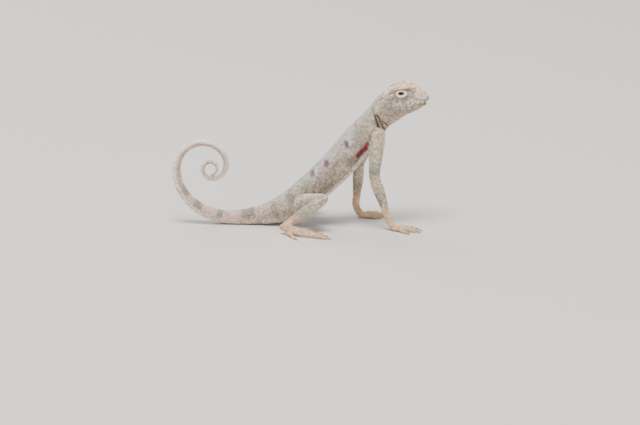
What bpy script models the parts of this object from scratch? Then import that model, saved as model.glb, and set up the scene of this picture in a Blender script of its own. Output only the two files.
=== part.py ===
"""A toad-headed agama of stony deserts, life size, sitting up on straight arms with its tail curled.

The lizard faces +X, its left side is +Y and the floor is z = 0. Sizes below are in millimetres, and
x is counted from under the hips; SHIFT_X then puts the origin under the middle of the whole animal.
"""

import math
from collections import namedtuple

import bmesh
import bpy
from mathutils import Vector

MM = 0.001
GAP = 0.3  # between two pieces that meet
MOUTH_GAP = 0.2
SHARP = math.radians(40)  # edges that bend more than this are shaded as edges
SHIFT_X = -2.8

BODY_SIDES = 24
HEAD_SIDES = 28
TAIL_SIDES = 16
LIMB_SIDES = 16
DIGIT_SIDES = 8
CLAW_SIDES = 6

SKIN = ("skin", (0.60, 0.53, 0.44), 0.75)
TOE_SKIN = ("toe_skin", (0.72, 0.52, 0.36), 0.7)
HORN = ("claw_horn", (0.30, 0.22, 0.16), 0.4)
EYE = ("eye", (0.05, 0.03, 0.02), 0.1)

# A section of the trunk: where its middle is, which way the spine runs there in degrees above the
# level, its half width, its reach to the back and to the belly, and how square it is.
Section = namedtuple("Section", "x z pitch half_width top bottom square")
TRUNK = (
    Section(-7.6, 2.24, 10, 2.75, 2.35, 2.42, 2.0),
    Section(-4.1, 3.10, 25, 3.65, 2.95, 3.05, 2.1),
    Section(0.0, 4.7, 35, 4.35, 3.6, 3.6, 2.2),
    Section(4.6, 8.3, 39, 4.85, 3.75, 3.85, 2.2),
    Section(8.7, 12.0, 44, 5.5, 3.9, 4.05, 2.2),
    Section(12.7, 16.1, 48, 5.7, 3.95, 4.1, 2.2),
    Section(17.7, 22.0, 50, 5.15, 4.0, 4.15, 2.2),
    Section(20.1, 24.8, 51, 4.5, 3.7, 3.95, 2.1),
    Section(22.2, 27.4, 50, 3.85, 3.35, 3.5, 2.1),
)

# Sections of the head are placed from the middle of the eye, along the head's own axis.
EYE_X = 27.9
EYE_Z = 34.3
HEAD_PITCH = 14.0
HeadSection = namedtuple("HeadSection", "along up tilt half_width top bottom square")
HEAD = (
    HeadSection(-4.3, -3.4, 20, 4.5, 3.7, 4.1, 2.2),
    HeadSection(-2.2, -2.5, 8, 5.3, 3.75, 4.2, 2.3),
    HeadSection(0.0, -2.1, 0, 5.0, 3.8, 3.85, 3.0),
    HeadSection(2.0, -2.1, 0, 4.35, 3.9, 3.6, 2.8),
    HeadSection(3.7, -2.2, 0, 3.6, 3.5, 3.15, 2.4),
    HeadSection(4.9, -2.5, 0, 2.95, 2.95, 2.4, 2.3),
    HeadSection(5.7, -2.75, 0, 2.35, 1.7, 1.7, 2.2),
    HeadSection(6.3, -2.85, 0, 1.6, 0.85, 1.0, 2.0),
    HeadSection(6.6, -2.9, 0, 0.7, 0.3, 0.35, 2.0),
)

# The tail: how far along it, which way it runs there in degrees, and its half height.
TailSection = namedtuple("TailSection", "along heading half_height")
TAIL = (
    TailSection(0.0, 190.0, 2.38),
    TailSection(6.0, 180.5, 1.78),
    TailSection(14.0, 154.7, 1.52),
    TailSection(22.0, 118.8, 1.22),
    TailSection(28.0, 87.5, 1.06),
    TailSection(34.0, 38.6, 0.93),
    TailSection(40.0, -15.1, 0.80),
    TailSection(46.0, -73.9, 0.76),
    TailSection(52.0, -159.2, 0.67),
    TailSection(57.0, -270.4, 0.59),
    TailSection(61.5, -403.4, 0.51),
    TailSection(65.5, -540.0, 0.32),
)
TAIL_WIDTHS = (1.155, 1.1, 1.0)  # half width over half height at the root, a third down and the tip
TAIL_CUTS = (0.0, 13.0, 25.5, 35.5, 44.5, 51.5, 56.5, 61.0, 65.5)
TAIL_STEP = 0.1

MOUTH = ((7.6, -3.7), (6.2, -3.75), (5.1, -3.8), (2.9, -3.65), (0.7, -3.35), (-2.6, -2.6))
JAW_ANGLE = (-4.6, -9.2)
JAW_TIP = 5.7
LIP_RADIUS = 0.34

# Reaches of the eyes, their sockets and the lids round them: along the slit, outward and up.
EYE_LEFT = 3.15
EYEBALL = (1.2, 1.15, 0.95)
SOCKET = (1.5, 1.45, 1.25)
LIDS = (1.7, 1.72, 1.4)
SLIT_HALF_WIDTH = 0.85
SLIT_HALF_HEIGHT = 0.32
SLIT_PITCH = 4.0

# The ridge over each eye: along the head, up, how far its middle is sunk in, and its radius.
BROW = (
    (-4.4, -0.3, 0.6, 0.4),
    (-2.8, 0.5, 0.15, 0.55),
    (-1.0, 1.05, -0.3, 0.68),
    (0.8, 1.15, -0.25, 0.68),
    (2.4, 0.85, 0.1, 0.58),
    (4.3, 0.0, 0.5, 0.35),
)

NOSTRIL = (5.7, 1.2, -1.9)
NOSTRIL_BUMP = 0.72
NOSTRIL_HOLE = 0.26

# The limbs. A station of a limb is a place with a half size across the limb and through it.
Station = namedtuple("Station", "place across deep")
JOINTS = {
    "right": {
        "shoulder": (22.0, -2.8, 25.4),
        "elbow": (21.3, -6.3, 13.4),
        "wrist": (24.8, -6.9, 3.1),
        "palm": (26.1, -7.1, 0.8),
        "knuckles": (27.5, -7.3, 0.55),
        "hip": (0.6, -1.6, 4.9),
        "knee": (8.5, -9.5, 8.6),
        "ankle": (-1.6, -11.0, 1.75),
        "toe_roots": (3.0, -12.2, 0.56),
    },
    "left": {
        "shoulder": (21.9, 2.8, 25.4),
        "elbow": (17.6, 6.8, 14.0),
        "wrist": (16.8, 6.5, 3.1),
        "palm": (18.1, 6.65, 0.8),
        "knuckles": (19.5, 6.8, 0.55),
        "hip": (0.6, 1.6, 4.9),
        "knee": (7.4, 9.9, 8.3),
        "ankle": (-2.9, 11.4, 1.75),
        "toe_roots": (1.6, 12.9, 0.56),
    },
}
# How far from one joint to the next, and the half sizes there.
ARM_SIZES = (
    ("shoulder", "elbow", ((0.0, 1.5, 1.5), (0.1, 2.05, 2.0), (0.28, 2.15, 2.15), (0.65, 1.6, 1.65))),
    ("elbow", "wrist", ((0.0, 1.35, 1.35), (0.3, 1.4, 1.45), (0.75, 1.02, 1.0))),
    ("wrist", "palm", ((0.0, 0.95, 0.95),)),
    ("palm", "knuckles", ((0.0, 1.45, 0.84), (1.0, 1.75, 0.68))),
)
THIGH_SIZES = (
    (0.0, 2.3, 2.7),
    (0.35, 2.25, 2.6),
    (0.7, 1.85, 2.0),
    (0.93, 1.5, 1.55),
    (1.06, 1.05, 1.1),
    (1.11, 0.5, 0.55),
)
SHANK_SIZES = ((0.0, 1.2, 1.3), (0.3, 1.4, 1.5), (0.7, 1.05, 1.1), (1.0, 0.9, 0.9))
FOOT_SIZES = (
    (-0.16, 0.5, 0.45),
    (-0.04, 0.92, 0.85),
    (0.3, 1.05, 0.98),
    (0.7, 1.5, 0.98),
    (1.0, 1.85, 0.68),
)

# Each digit: its name, how far across the row its root is, how far it turns outward, its length.
FINGERS = (
    ("1", -1.25, -32.0, 2.7),
    ("2", -0.68, -14.0, 3.6),
    ("3", 0.0, 0.0, 4.5),
    ("4", 0.68, 14.0, 4.6),
    ("5", 1.25, 40.0, 3.3),
)
TOES = (
    ("1", -1.42, -24.0, 2.6),
    ("2", -0.48, -10.0, 4.0),
    ("3", 0.45, -1.0, 5.6),
    ("4", 1.38, 8.0, 7.4),
    ("5", 1.2, 50.0, 4.0),
)
FIFTH_TOE_BACK = 2.9  # the fifth toe leaves the foot nearer the heel
DIGIT_ROOT = 0.41
DIGIT_MIDDLE = 0.43
DIGIT_TIP = 0.34
DIGIT_ARCH = 0.72
CLAW_ROOT = 0.29
CLAW_TIP = 0.06
CLAW_LENGTH = 1.25


def clear_scene():
    """Empties the scene that the script was opened in."""
    for obj in list(bpy.data.objects):
        bpy.data.objects.remove(obj, do_unlink=True)


def material(finish):
    """The material of one finish: its name, base colour and roughness."""
    name, colour, roughness = finish
    made = bpy.data.materials.get(name)
    if made is None:
        made = bpy.data.materials.new(name)
        made.use_nodes = True
        shader = made.node_tree.nodes["Principled BSDF"]
        shader.inputs["Base Color"].default_value = (*colour, 1.0)
        shader.inputs["Roughness"].default_value = roughness
        shader.inputs["Metallic"].default_value = 0.0
    return made


def collection():
    """The collection that holds the animal."""
    made = bpy.data.collections.get("toad_headed_agama")
    if made is None:
        made = bpy.data.collections.new("toad_headed_agama")
        bpy.context.scene.collection.children.link(made)
    return made


def smooth(knots, values, place):
    """The value at a place on a smooth curve through numbers or vectors given at knots."""
    last = len(knots) - 1
    if place <= knots[0]:
        return values[0]
    if place >= knots[last]:
        return values[last]
    i = max(k for k in range(last) if knots[k] <= place)

    def slope(k):
        low, high = max(k - 1, 0), min(k + 1, last)
        return (values[high] - values[low]) / (knots[high] - knots[low])

    width = knots[i + 1] - knots[i]
    t = (place - knots[i]) / width
    return (
        values[i] * (2 * t**3 - 3 * t**2 + 1)
        + slope(i) * (width * (t**3 - 2 * t**2 + t))
        + values[i + 1] * (3 * t**2 - 2 * t**3)
        + slope(i + 1) * (width * (t**3 - t**2))
    )


def steps(start, end, spacing):
    """Evenly spaced places from start to end, both included."""
    count = max(2, round((end - start) / spacing))
    return [start + (end - start) * k / count for k in range(count + 1)]


def ring(centre, side, up, half_width, top, bottom, square, sides):
    """A closed line of points round a centre: a superellipse, deeper or shallower above than below."""
    points = []
    for k in range(sides):
        turn = 2 * math.pi * (k + 0.5) / sides
        across = math.copysign(abs(math.cos(turn)) ** (2 / square), math.cos(turn))
        over = math.copysign(abs(math.sin(turn)) ** (2 / square), math.sin(turn))
        reach = top if over > 0 else bottom
        points.append(centre + side * (half_width * across) + up * (reach * over))
    return points


def on_floor(point):
    """The point, or the place above it on the floor where it would be lower."""
    return Vector((point.x, point.y, max(point.z, 0.0)))


def object_from(name, made, finish):
    """A mesh object from a bmesh in the animal's millimetres, put in the collection."""
    for vert in made.verts:
        vert.co = (vert.co + Vector((SHIFT_X, 0, 0))) * MM
    bmesh.ops.recalc_face_normals(made, faces=made.faces)
    mesh = bpy.data.meshes.new(name)
    made.to_mesh(mesh)
    made.free()
    mesh.materials.append(material(finish))
    mesh.shade_smooth()
    mesh.set_sharp_from_angle(angle=SHARP)
    obj = bpy.data.objects.new(name, mesh)
    collection().objects.link(obj)
    return obj


def solid(name, rings, finish, settle=True):
    """A closed skin over rings of as many points each, with flat ends, settled on the floor."""
    made = bmesh.new()
    rows = [[made.verts.new(on_floor(p) if settle else p) for p in points] for points in rings]
    for low, high in zip(rows, rows[1:]):
        for k in range(len(low)):
            after = (k + 1) % len(low)
            made.faces.new((low[k], low[after], high[after], high[k]))
    made.faces.new(list(reversed(rows[0])))
    made.faces.new(rows[-1])
    return object_from(name, made, finish)


def floor_block():
    """A block under the floor, to be cut from what stands on it."""
    rows = [[Vector((x, y, z)) for x, y in ((-60, -60), (60, -60), (60, 60), (-60, 60))] for z in (-5, 0)]
    return solid("floor_block", rows, SKIN, settle=False)


def ball(name, centre, radius, finish, segments=18, rows=12):
    """A ball round a centre."""
    made = bmesh.new()
    bmesh.ops.create_uvsphere(made, u_segments=segments, v_segments=rows, radius=radius)
    for vert in made.verts:
        vert.co = vert.co + Vector(centre)
    return object_from(name, made, finish)


def egg(name, centre, forward, upward, reaches, finish):
    """A ball round a centre with its own reach forward, sideways and upward."""
    made = bmesh.new()
    bmesh.ops.create_uvsphere(made, u_segments=18, v_segments=12, radius=1.0)
    for vert in made.verts:
        along, out, up = (vert.co[k] * reaches[k] for k in range(3))
        vert.co = centre + forward * along + Vector((0, out, 0)) + upward * up
    return object_from(name, made, finish)


def largest_body(mesh):
    """Keeps the largest closed surface of a mesh that a Boolean made."""
    made = bmesh.new()
    made.from_mesh(mesh)
    left = set(made.verts)
    bodies = []
    while left:
        found, edge = set(), [left.pop()]
        while edge:
            vert = edge.pop()
            found.add(vert)
            for link in vert.link_edges:
                other = link.other_vert(vert)
                if other in left:
                    left.discard(other)
                    edge.append(other)
        bodies.append(found)

    def extent(verts):
        xs = [vert.co.x for vert in verts]
        ys = [vert.co.y for vert in verts]
        zs = [vert.co.z for vert in verts]
        return (max(xs) - min(xs)) + (max(ys) - min(ys)) + (max(zs) - min(zs))

    bodies.sort(key=extent)
    for verts in bodies[:-1]:
        bmesh.ops.delete(made, geom=list(verts), context="VERTS")
    made.to_mesh(mesh)
    made.free()


def combine(obj, operation, tools):
    """Joins tools to a mesh object, or cuts them from it, applies that and removes the tools."""
    group = bpy.data.collections.new("tools")
    bpy.context.scene.collection.children.link(group)
    for tool in tools:
        collection().objects.unlink(tool)
        group.objects.link(tool)
    modifier = obj.modifiers.new(operation.lower(), "BOOLEAN")
    modifier.operation = operation
    modifier.operand_type = "COLLECTION"
    modifier.collection = group
    modifier.solver = "EXACT"
    graph = bpy.context.evaluated_depsgraph_get()
    result = bpy.data.meshes.new_from_object(obj.evaluated_get(graph), depsgraph=graph)
    obj.modifiers.clear()
    before = obj.data
    obj.data = result
    bpy.data.meshes.remove(before)
    result.name = obj.name
    result.shade_smooth()
    result.set_sharp_from_angle(angle=SHARP)
    for tool in tools:
        bpy.data.objects.remove(tool, do_unlink=True)
    bpy.data.collections.remove(group)
    largest_body(result)


def head_point(along, left, up):
    """A place on the head, counted from between the eyes, as a place on the animal."""
    pitch = math.radians(HEAD_PITCH)
    forward = Vector((math.cos(pitch), 0, math.sin(pitch)))
    upward = Vector((-math.sin(pitch), 0, math.cos(pitch)))
    return Vector((EYE_X, left, EYE_Z)) + forward * along + upward * up


def body_sections():
    """Every section of the trunk and the head, and how far along the spine each lies."""
    sections = list(TRUNK)
    for part in HEAD:
        middle = head_point(part.along, 0, part.up)
        sections.append(Section(middle.x, middle.z, HEAD_PITCH + part.tilt, *part[3:]))
    places = [0.0]
    for a, b in zip(sections, sections[1:]):
        places.append(places[-1] + math.hypot(b.x - a.x, b.z - a.z))
    return places, sections


BODY_PLACES, BODY_SECTIONS = body_sections()
HIPS_END = BODY_PLACES[2] + 3.4
TORSO_END = BODY_PLACES[7] - 0.3
NECK_END = BODY_PLACES[9] - 0.9


def body_ring(place, sides, grow=0.0):
    """The ring of the body at a place along the spine, grown by some thickness."""
    x, z, pitch, half_width, top, bottom, square = (
        smooth(BODY_PLACES, [float(section[k]) for section in BODY_SECTIONS], place) for k in range(7)
    )
    upward = Vector((-math.sin(math.radians(pitch)), 0, math.cos(math.radians(pitch))))
    sizes = (half_width + grow, top + grow, bottom + grow)
    return ring(Vector((x, 0, z)), Vector((0, 1, 0)), upward, *sizes, square, sides)


def body_length(name, start, end, spacing, sides, grow=0.0):
    """A closed length of the body between two places along the spine."""
    return solid(name, [body_ring(place, sides, grow) for place in steps(start, end, spacing)], SKIN)


def make_trunk():
    """The hips, the torso and the neck."""
    half = GAP / 2
    body_length("hips", half, HIPS_END - half, 1.1, BODY_SIDES)
    body_length("torso", HIPS_END + half, TORSO_END - half, 1.3, BODY_SIDES)
    body_length("neck", TORSO_END + half, NECK_END - half, 0.9, BODY_SIDES)


def head_side(along, up):
    """How far the head reaches to one side at a place along it and a height."""
    knots = [part.along for part in HEAD]
    middle, half_width, top, bottom, square = (
        smooth(knots, [float(part[k]) for part in HEAD], along) for k in (1, 3, 4, 5, 6)
    )
    rise = abs(up - middle) / (top if up > middle else bottom)
    return half_width * max(0.0, 1.0 - rise**square) ** (1 / square)


def mouth_height(along):
    """How high the line of the mouth lies at a place along the head."""
    knots = [-point[0] for point in MOUTH]
    return smooth(knots, [point[1] for point in MOUTH], -along)


def mouth_outline(drop, ahead):
    """The edge of the lower jaw in side view, some way below and ahead of the mouth's line."""
    line = [(along + ahead, mouth_height(along) - drop) for along in steps(-2.6, 7.6, 0.8)]
    return [(JAW_ANGLE[0] + ahead, JAW_ANGLE[1]), *line]


def jaw_room():
    """A block that holds the lower jaw and the gap round it, to be cut from the head."""
    outline = [*mouth_outline(0.0, 0.0), (8.0, JAW_ANGLE[1])]
    rows = [[head_point(along, left, up) for along, up in outline] for left in (-8, 8)]
    return solid("jaw_room", rows, SKIN)


def head_room():
    """A block that holds all of the head over and behind the jaw, to be cut from the jaw."""
    outline = mouth_outline(MOUTH_GAP, GAP)
    outline = [point for point in outline if point[0] < JAW_TIP]
    outline += [(JAW_TIP, mouth_height(JAW_TIP) - MOUTH_GAP), (JAW_TIP - 1.2, JAW_ANGLE[1])]
    outline += [(9.0, JAW_ANGLE[1]), (9.0, 5.0), (-9.0, 5.0), (-9.0, JAW_ANGLE[1])]
    rows = [[head_point(along, left, up) for along, up in outline] for left in (-8, 8)]
    return solid("head_room", rows, SKIN)


def lip(name, over, front):
    """A thin roll along the mouth, over or under its line, from one corner round to the other."""
    points = []
    for along in (*steps(-2.4, front - 0.6, 1.2), front - 0.2):
        up = mouth_height(along) + over
        points.append((along, -(head_side(along, up) - 0.22), up))
    points.append((front, 0.0, mouth_height(front) + over))
    points += [(along, -left, up) for along, left, up in reversed(points[:-1])]
    places = [head_point(*point) for point in points]
    count = len(places)
    stations = []
    for k, place in enumerate(places):
        radius = LIP_RADIUS * min(1.0, 0.45 + 0.3 * min(k, count - 1 - k))
        stations.append(Station(place, radius, radius))
    return tube(name, stations, SKIN, 8, 0.8, up=head_point(0, 0, 1) - head_point(0, 0, 0))


def tube_path(stations):
    """How far along a limb each of its stations lies."""
    places = [0.0]
    for a, b in zip(stations, stations[1:]):
        places.append(places[-1] + (b.place - a.place).length)
    return places


def tube(
    name, stations, finish, sides, spacing,
    start=0.0, end=None, grow=0.0, up=Vector((0, 0, 1)), broad=None, settle=True,
):
    """A closed tube along stations, its depth kept nearest to up or its breadth nearest to broad."""
    knots = tube_path(stations)
    end = knots[-1] if end is None else end
    middles = [station.place for station in stations]
    rings = []
    places = [(place, 0.0) for place in steps(start, end, spacing)]
    if grow:
        places = [(start, -grow), *places, (end, grow)]
    for place, beyond in places:
        ahead = smooth(knots, middles, place + 0.05) - smooth(knots, middles, place - 0.05)
        ahead.normalize()
        if broad is not None:
            up = ahead.cross(broad)
        over = (up - ahead * up.dot(ahead)).normalized()
        side = over.cross(ahead)
        across = smooth(knots, [float(s.across) for s in stations], place) + grow
        deep = smooth(knots, [float(s.deep) for s in stations], place) + grow
        centre = smooth(knots, middles, place) + ahead * beyond
        rings.append(ring(centre, side, over, across, deep, deep, 2.0, sides))
    return solid(name, rings, finish, settle)


def make_head():
    """The head with its brows, lids, lips and nostrils, the lower jaw and the eyes."""
    start = NECK_END + GAP / 2
    head = body_length("head", start, BODY_PLACES[-1], 0.55, HEAD_SIDES)
    jaw = body_length("jaw", start, BODY_PLACES[-1], 0.55, HEAD_SIDES)
    added, cut = [lip("upper_lip", 0.4, 6.25)], [jaw_room()]
    slit_axis = Vector((math.cos(math.radians(SLIT_PITCH)), 0, math.sin(math.radians(SLIT_PITCH))))
    slit_up = Vector((-slit_axis.z, 0, slit_axis.x))
    for side in (-1, 1):
        centre = head_point(0, side * EYE_LEFT, 0)
        added.append(egg("lids", centre, slit_axis, slit_up, LIDS, SKIN))
        stations = [
            Station(head_point(along, side * (head_side(along, up) - sunk), up), radius, 0.8 * radius)
            for along, up, sunk, radius in BROW
        ]
        added.append(tube("brow", stations, SKIN, 8, 0.8))
        along, left, up = NOSTRIL
        added.append(ball("nostril", head_point(along - 0.25, side * left, up), NOSTRIL_BUMP, SKIN, 12, 8))
        cut.append(egg("socket", centre, slit_axis, slit_up, SOCKET, SKIN))
        cut.append(
            solid(
                "slit",
                [
                    ring(centre + Vector((0, side * y, 0)), slit_axis, slit_up, SLIT_HALF_WIDTH,
                         SLIT_HALF_HEIGHT, SLIT_HALF_HEIGHT, 1.7, 12)
                    for y in (0.6, 3.5)
                ],
                SKIN,
            )
        )
        hole = [
            Station(head_point(along - 0.2, side * (left - 0.05), up + 0.1), NOSTRIL_HOLE, NOSTRIL_HOLE),
            Station(head_point(along + 1.0, side * (left + 0.7), up + 0.75), NOSTRIL_HOLE, NOSTRIL_HOLE),
        ]
        cut.append(tube("nostril_hole", hole, SKIN, 8, 1.0))
        name = "eye_left" if side > 0 else "eye_right"
        egg(name, centre, slit_axis, slit_up, EYEBALL, EYE)
    combine(head, "UNION", added)
    combine(head, "DIFFERENCE", cut)
    combine(jaw, "UNION", [lip("lower_lip", -0.6, JAW_TIP - 0.15)])
    combine(jaw, "DIFFERENCE", [head_room()])


def tail_stations():
    """Stations along the tail, found by walking it in short steps along its heading."""
    knots = [section.along for section in TAIL]
    headings = [float(section.heading) for section in TAIL]
    heights = [section.half_height for section in TAIL]
    place = Vector((TRUNK[0].x, 0, TRUNK[0].z))
    stations = []
    count = round(TAIL[-1].along / TAIL_STEP)
    for k in range(count + 1):
        along = k * TAIL_STEP
        half_height = smooth(knots, heights, along)
        widening = smooth((0.0, knots[-1] / 3, knots[-1]), TAIL_WIDTHS, along)
        stations.append(Station(place.copy(), half_height * widening, half_height))
        heading = math.radians(smooth(knots, headings, along + TAIL_STEP / 2))
        place = place + Vector((math.cos(heading), 0, math.sin(heading))) * TAIL_STEP
    return stations


def make_tail():
    """The tail in lengths that each turn through less than half a circle or so."""
    stations = tail_stations()
    knots = [section.along for section in TAIL]
    headings = [float(section.heading) for section in TAIL]
    for number, (start, end) in enumerate(zip(TAIL_CUTS, TAIL_CUTS[1:]), start=1):
        start += GAP / 2
        end -= GAP / 2 if number < len(TAIL_CUTS) - 1 else 0.0
        rings = []
        for place in steps(start, end, 1.1 if start < 50 else 0.7):
            station = stations[min(round(place / TAIL_STEP), len(stations) - 1)]
            heading = math.radians(smooth(knots, headings, place))
            over = Vector((math.sin(heading), 0, -math.cos(heading)))
            sizes = (station.across, station.deep, station.deep)
            rings.append(ring(station.place, Vector((0, 1, 0)), over, *sizes, 2.0, TAIL_SIDES))
        solid(f"tail_{number}", rings, SKIN)


def between(start, end, sizes):
    """Stations on the straight line between two joints."""
    start, end = Vector(start), Vector(end)
    return [Station(start.lerp(end, part) if part <= 1 else end + (end - start) * (part - 1), a, d)
            for part, a, d in sizes]


def digit_stations(root, yaw, length):
    """Stations of a finger or toe from its root, lying on the floor with a low arch."""
    way = Vector((math.cos(yaw), math.sin(yaw), 0))
    parts = ((-0.5, 0.55, DIGIT_ROOT), (0.0, 0.5, DIGIT_ROOT), (0.42, DIGIT_ARCH, DIGIT_MIDDLE),
             (0.78, 0.36, DIGIT_MIDDLE), (1.0, 0.27, DIGIT_TIP))
    stations = []
    for part, height, radius in parts:
        along = part if part < 0 else part * length
        place = Vector((root.x, root.y, 0)) + way * along + Vector((0, 0, height))
        stations.append(Station(place, radius, radius))
    return stations


def make_claw(name, root, yaw, length):
    """A claw in front of a digit's tip, curving down to the floor."""
    way = Vector((math.cos(yaw), math.sin(yaw), 0))
    tip = Vector((root.x, root.y, 0)) + way * (length + GAP)
    parts = ((0.0, 0.36, CLAW_ROOT), (0.35, 0.38, 0.26), (0.75, 0.29, 0.17), (1.0, 0.12, CLAW_TIP))
    stations = [Station(tip + way * (part * CLAW_LENGTH) + Vector((0, 0, height)), radius * 0.85, radius)
                for part, height, radius in parts]
    tube(name, stations, HORN, CLAW_SIDES, 0.32)


def digits_of(side, wrist, row, table, back=0.0):
    """The name, root, yaw and length of each digit on a hand or foot."""
    sign = -1 if side == "right" else 1
    heading = math.atan2(row.y - wrist.y, row.x - wrist.x)
    outward = Vector((-math.sin(heading), math.cos(heading), 0)) * sign
    forward = Vector((math.cos(heading), math.sin(heading), 0))
    found = []
    for number, across, turn, length in table:
        root = row + outward * across - forward * (0.25 * abs(across))
        if number == "5":
            root = root - forward * back
        found.append((number, root, heading + sign * math.radians(turn), length))
    return found


def make_arm(side):
    """An upper arm, a forearm, and a hand with its fingers and claws."""
    joints = {name: Vector(place) for name, place in JOINTS[side].items()}
    stations = []
    for start, end, sizes in ARM_SIZES:
        stations += between(joints[start], joints[end], sizes)
    knots = tube_path(stations)
    elbow, wrist = knots[4], knots[7]
    sideways = Vector((0, 1, 0))
    half = GAP / 2
    upper = tube(f"upper_arm_{side}", stations, SKIN, LIMB_SIDES, 1.3, 0.0, elbow - half, broad=sideways)
    combine(upper, "DIFFERENCE", [body_length("trunk", 0, BODY_PLACES[-1], 1.1, BODY_SIDES, GAP)])
    tube(f"forearm_{side}", stations, SKIN, LIMB_SIDES, 1.2, elbow + half, wrist - half, broad=sideways)
    hand = tube(
        f"hand_{side}", stations, TOE_SKIN, LIMB_SIDES, 0.8, wrist + half, broad=sideways, settle=False
    )
    fingers = []
    for number, root, yaw, length in digits_of(side, joints["wrist"], joints["knuckles"], FINGERS):
        finger = digit_stations(root, yaw, length)
        fingers.append(tube("finger", finger, TOE_SKIN, DIGIT_SIDES, 0.8, settle=False))
        make_claw(f"claw_finger_{number}_{side}", root, yaw, length)
    combine(hand, "UNION", fingers)
    combine(hand, "DIFFERENCE", [floor_block()])


def make_leg(side):
    """A thigh, a shank, a foot, and toes with claws."""
    joints = {name: Vector(place) for name, place in JOINTS[side].items()}
    thigh_path = between(joints["hip"], joints["knee"], THIGH_SIZES)
    shank_path = between(joints["knee"], joints["ankle"], SHANK_SIZES)
    foot_path = between(joints["ankle"], joints["toe_roots"], FOOT_SIZES)
    thigh = tube(f"thigh_{side}", thigh_path, SKIN, LIMB_SIDES, 1.2)
    combine(thigh, "DIFFERENCE", [body_length("trunk", 0, BODY_PLACES[-1], 1.1, BODY_SIDES, GAP)])
    shank = tube(f"shank_{side}", shank_path, SKIN, LIMB_SIDES, 1.2)
    grown_thigh = tube("thigh_gap", thigh_path, SKIN, LIMB_SIDES, 1.2, grow=GAP)
    grown_foot = tube("foot_gap", foot_path, SKIN, LIMB_SIDES, 0.8, grow=GAP)
    combine(shank, "DIFFERENCE", [grown_thigh, grown_foot])
    tube(f"foot_{side}", foot_path, TOE_SKIN, LIMB_SIDES, 0.8)
    toes = digits_of(side, joints["ankle"], joints["toe_roots"], TOES, FIFTH_TOE_BACK)
    for number, root, yaw, length in toes:
        toe = tube(f"toe_{number}_{side}", digit_stations(root, yaw, length), TOE_SKIN, DIGIT_SIDES, 0.8)
        combine(toe, "DIFFERENCE", [tube("foot_gap", foot_path, SKIN, LIMB_SIDES, 0.8, grow=GAP)])
        make_claw(f"claw_toe_{number}_{side}", root, yaw, length)


def main():
    """Builds the whole animal."""
    clear_scene()
    make_trunk()
    make_head()
    make_tail()
    for side in ("right", "left"):
        make_arm(side)
        make_leg(side)


main()
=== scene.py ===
"""A toad-headed agama sitting up, life size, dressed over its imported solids.

One skin covers the flesh. Solid scales lie over it, the eyes and the claws are pieces of their own.
Sizes are in millimetres while a mesh is made, and in metres once it is a piece.
"""

import logging
import math
from dataclasses import dataclass, field
from enum import Enum

import bpy
import numpy as np
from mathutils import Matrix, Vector, noise
from mathutils.bvhtree import BVHTree
from mathutils.kdtree import KDTree


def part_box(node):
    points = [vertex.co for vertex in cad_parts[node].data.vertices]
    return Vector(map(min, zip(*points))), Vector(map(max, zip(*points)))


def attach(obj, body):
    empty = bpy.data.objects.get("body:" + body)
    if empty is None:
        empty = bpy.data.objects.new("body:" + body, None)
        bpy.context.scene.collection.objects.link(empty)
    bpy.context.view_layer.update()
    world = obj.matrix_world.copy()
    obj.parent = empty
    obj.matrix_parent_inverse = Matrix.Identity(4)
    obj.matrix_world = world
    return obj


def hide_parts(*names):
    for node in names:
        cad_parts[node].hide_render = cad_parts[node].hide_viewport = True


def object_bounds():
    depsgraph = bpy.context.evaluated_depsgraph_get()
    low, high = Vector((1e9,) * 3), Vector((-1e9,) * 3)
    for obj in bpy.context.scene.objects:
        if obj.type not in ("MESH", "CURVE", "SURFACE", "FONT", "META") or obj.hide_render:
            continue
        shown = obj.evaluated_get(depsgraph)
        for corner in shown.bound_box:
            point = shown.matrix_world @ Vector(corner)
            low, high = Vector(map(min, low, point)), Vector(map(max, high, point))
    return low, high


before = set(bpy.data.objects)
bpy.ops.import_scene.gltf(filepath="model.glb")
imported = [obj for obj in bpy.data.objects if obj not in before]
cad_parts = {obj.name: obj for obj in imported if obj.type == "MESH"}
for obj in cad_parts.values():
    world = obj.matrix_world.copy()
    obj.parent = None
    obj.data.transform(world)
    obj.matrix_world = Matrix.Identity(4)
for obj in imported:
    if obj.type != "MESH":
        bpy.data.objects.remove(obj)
CAD_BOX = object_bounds()

LOG = logging.getLogger("agama")
MM = 0.001
MERGE = 2000  # points that fall in one cell of this part of a millimetre are one
PIECE_LIMIT = 190000  # the most triangles in one piece of scales
SKIN_SHADE = 0.66  # painted shade: how dark the skin is painted under its scales
SEED = 7
BODY = "root"
SIDES = {"right": -1.0, "left": 1.0}

# Photograph: its frame, the scale of a pixel, and where the near eye lies in it
FRAME_SIZE = (640, 425)
PIXEL = 0.25
EYE_PIXEL = (401.0, 93.5)
ELEVATION = math.radians(14)
LENS = 200.0
SENSOR = 36.0

# Tail: where its middle line starts, and the heading in degrees and half the width along it
TAIL_START = (-10.4, 2.24)
TAIL_LINE = (
    (0, 190, 2.38), (6, 180.5, 1.78), (14, 154.7, 1.52), (22, 118.8, 1.22),
    (28, 87.5, 1.06), (34, 38.6, 0.93), (40, -15.1, 0.80), (46, -73.9, 0.76),
    (52, -159.2, 0.67), (57, -270.4, 0.59), (61.5, -403.4, 0.51), (65.5, -540, 0.32),
)  # fmt: skip

# Trunk: its middle line in the upright plane, from the tail's root to the neck
TRUNK_LINE = (
    (-10.4, 2.24), (-6.9, 3.10), (-2.8, 4.7), (1.8, 8.3), (5.9, 12.0),
    (9.9, 16.1), (14.9, 22.0), (17.3, 24.8), (19.4, 27.4),
)  # fmt: skip

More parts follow.
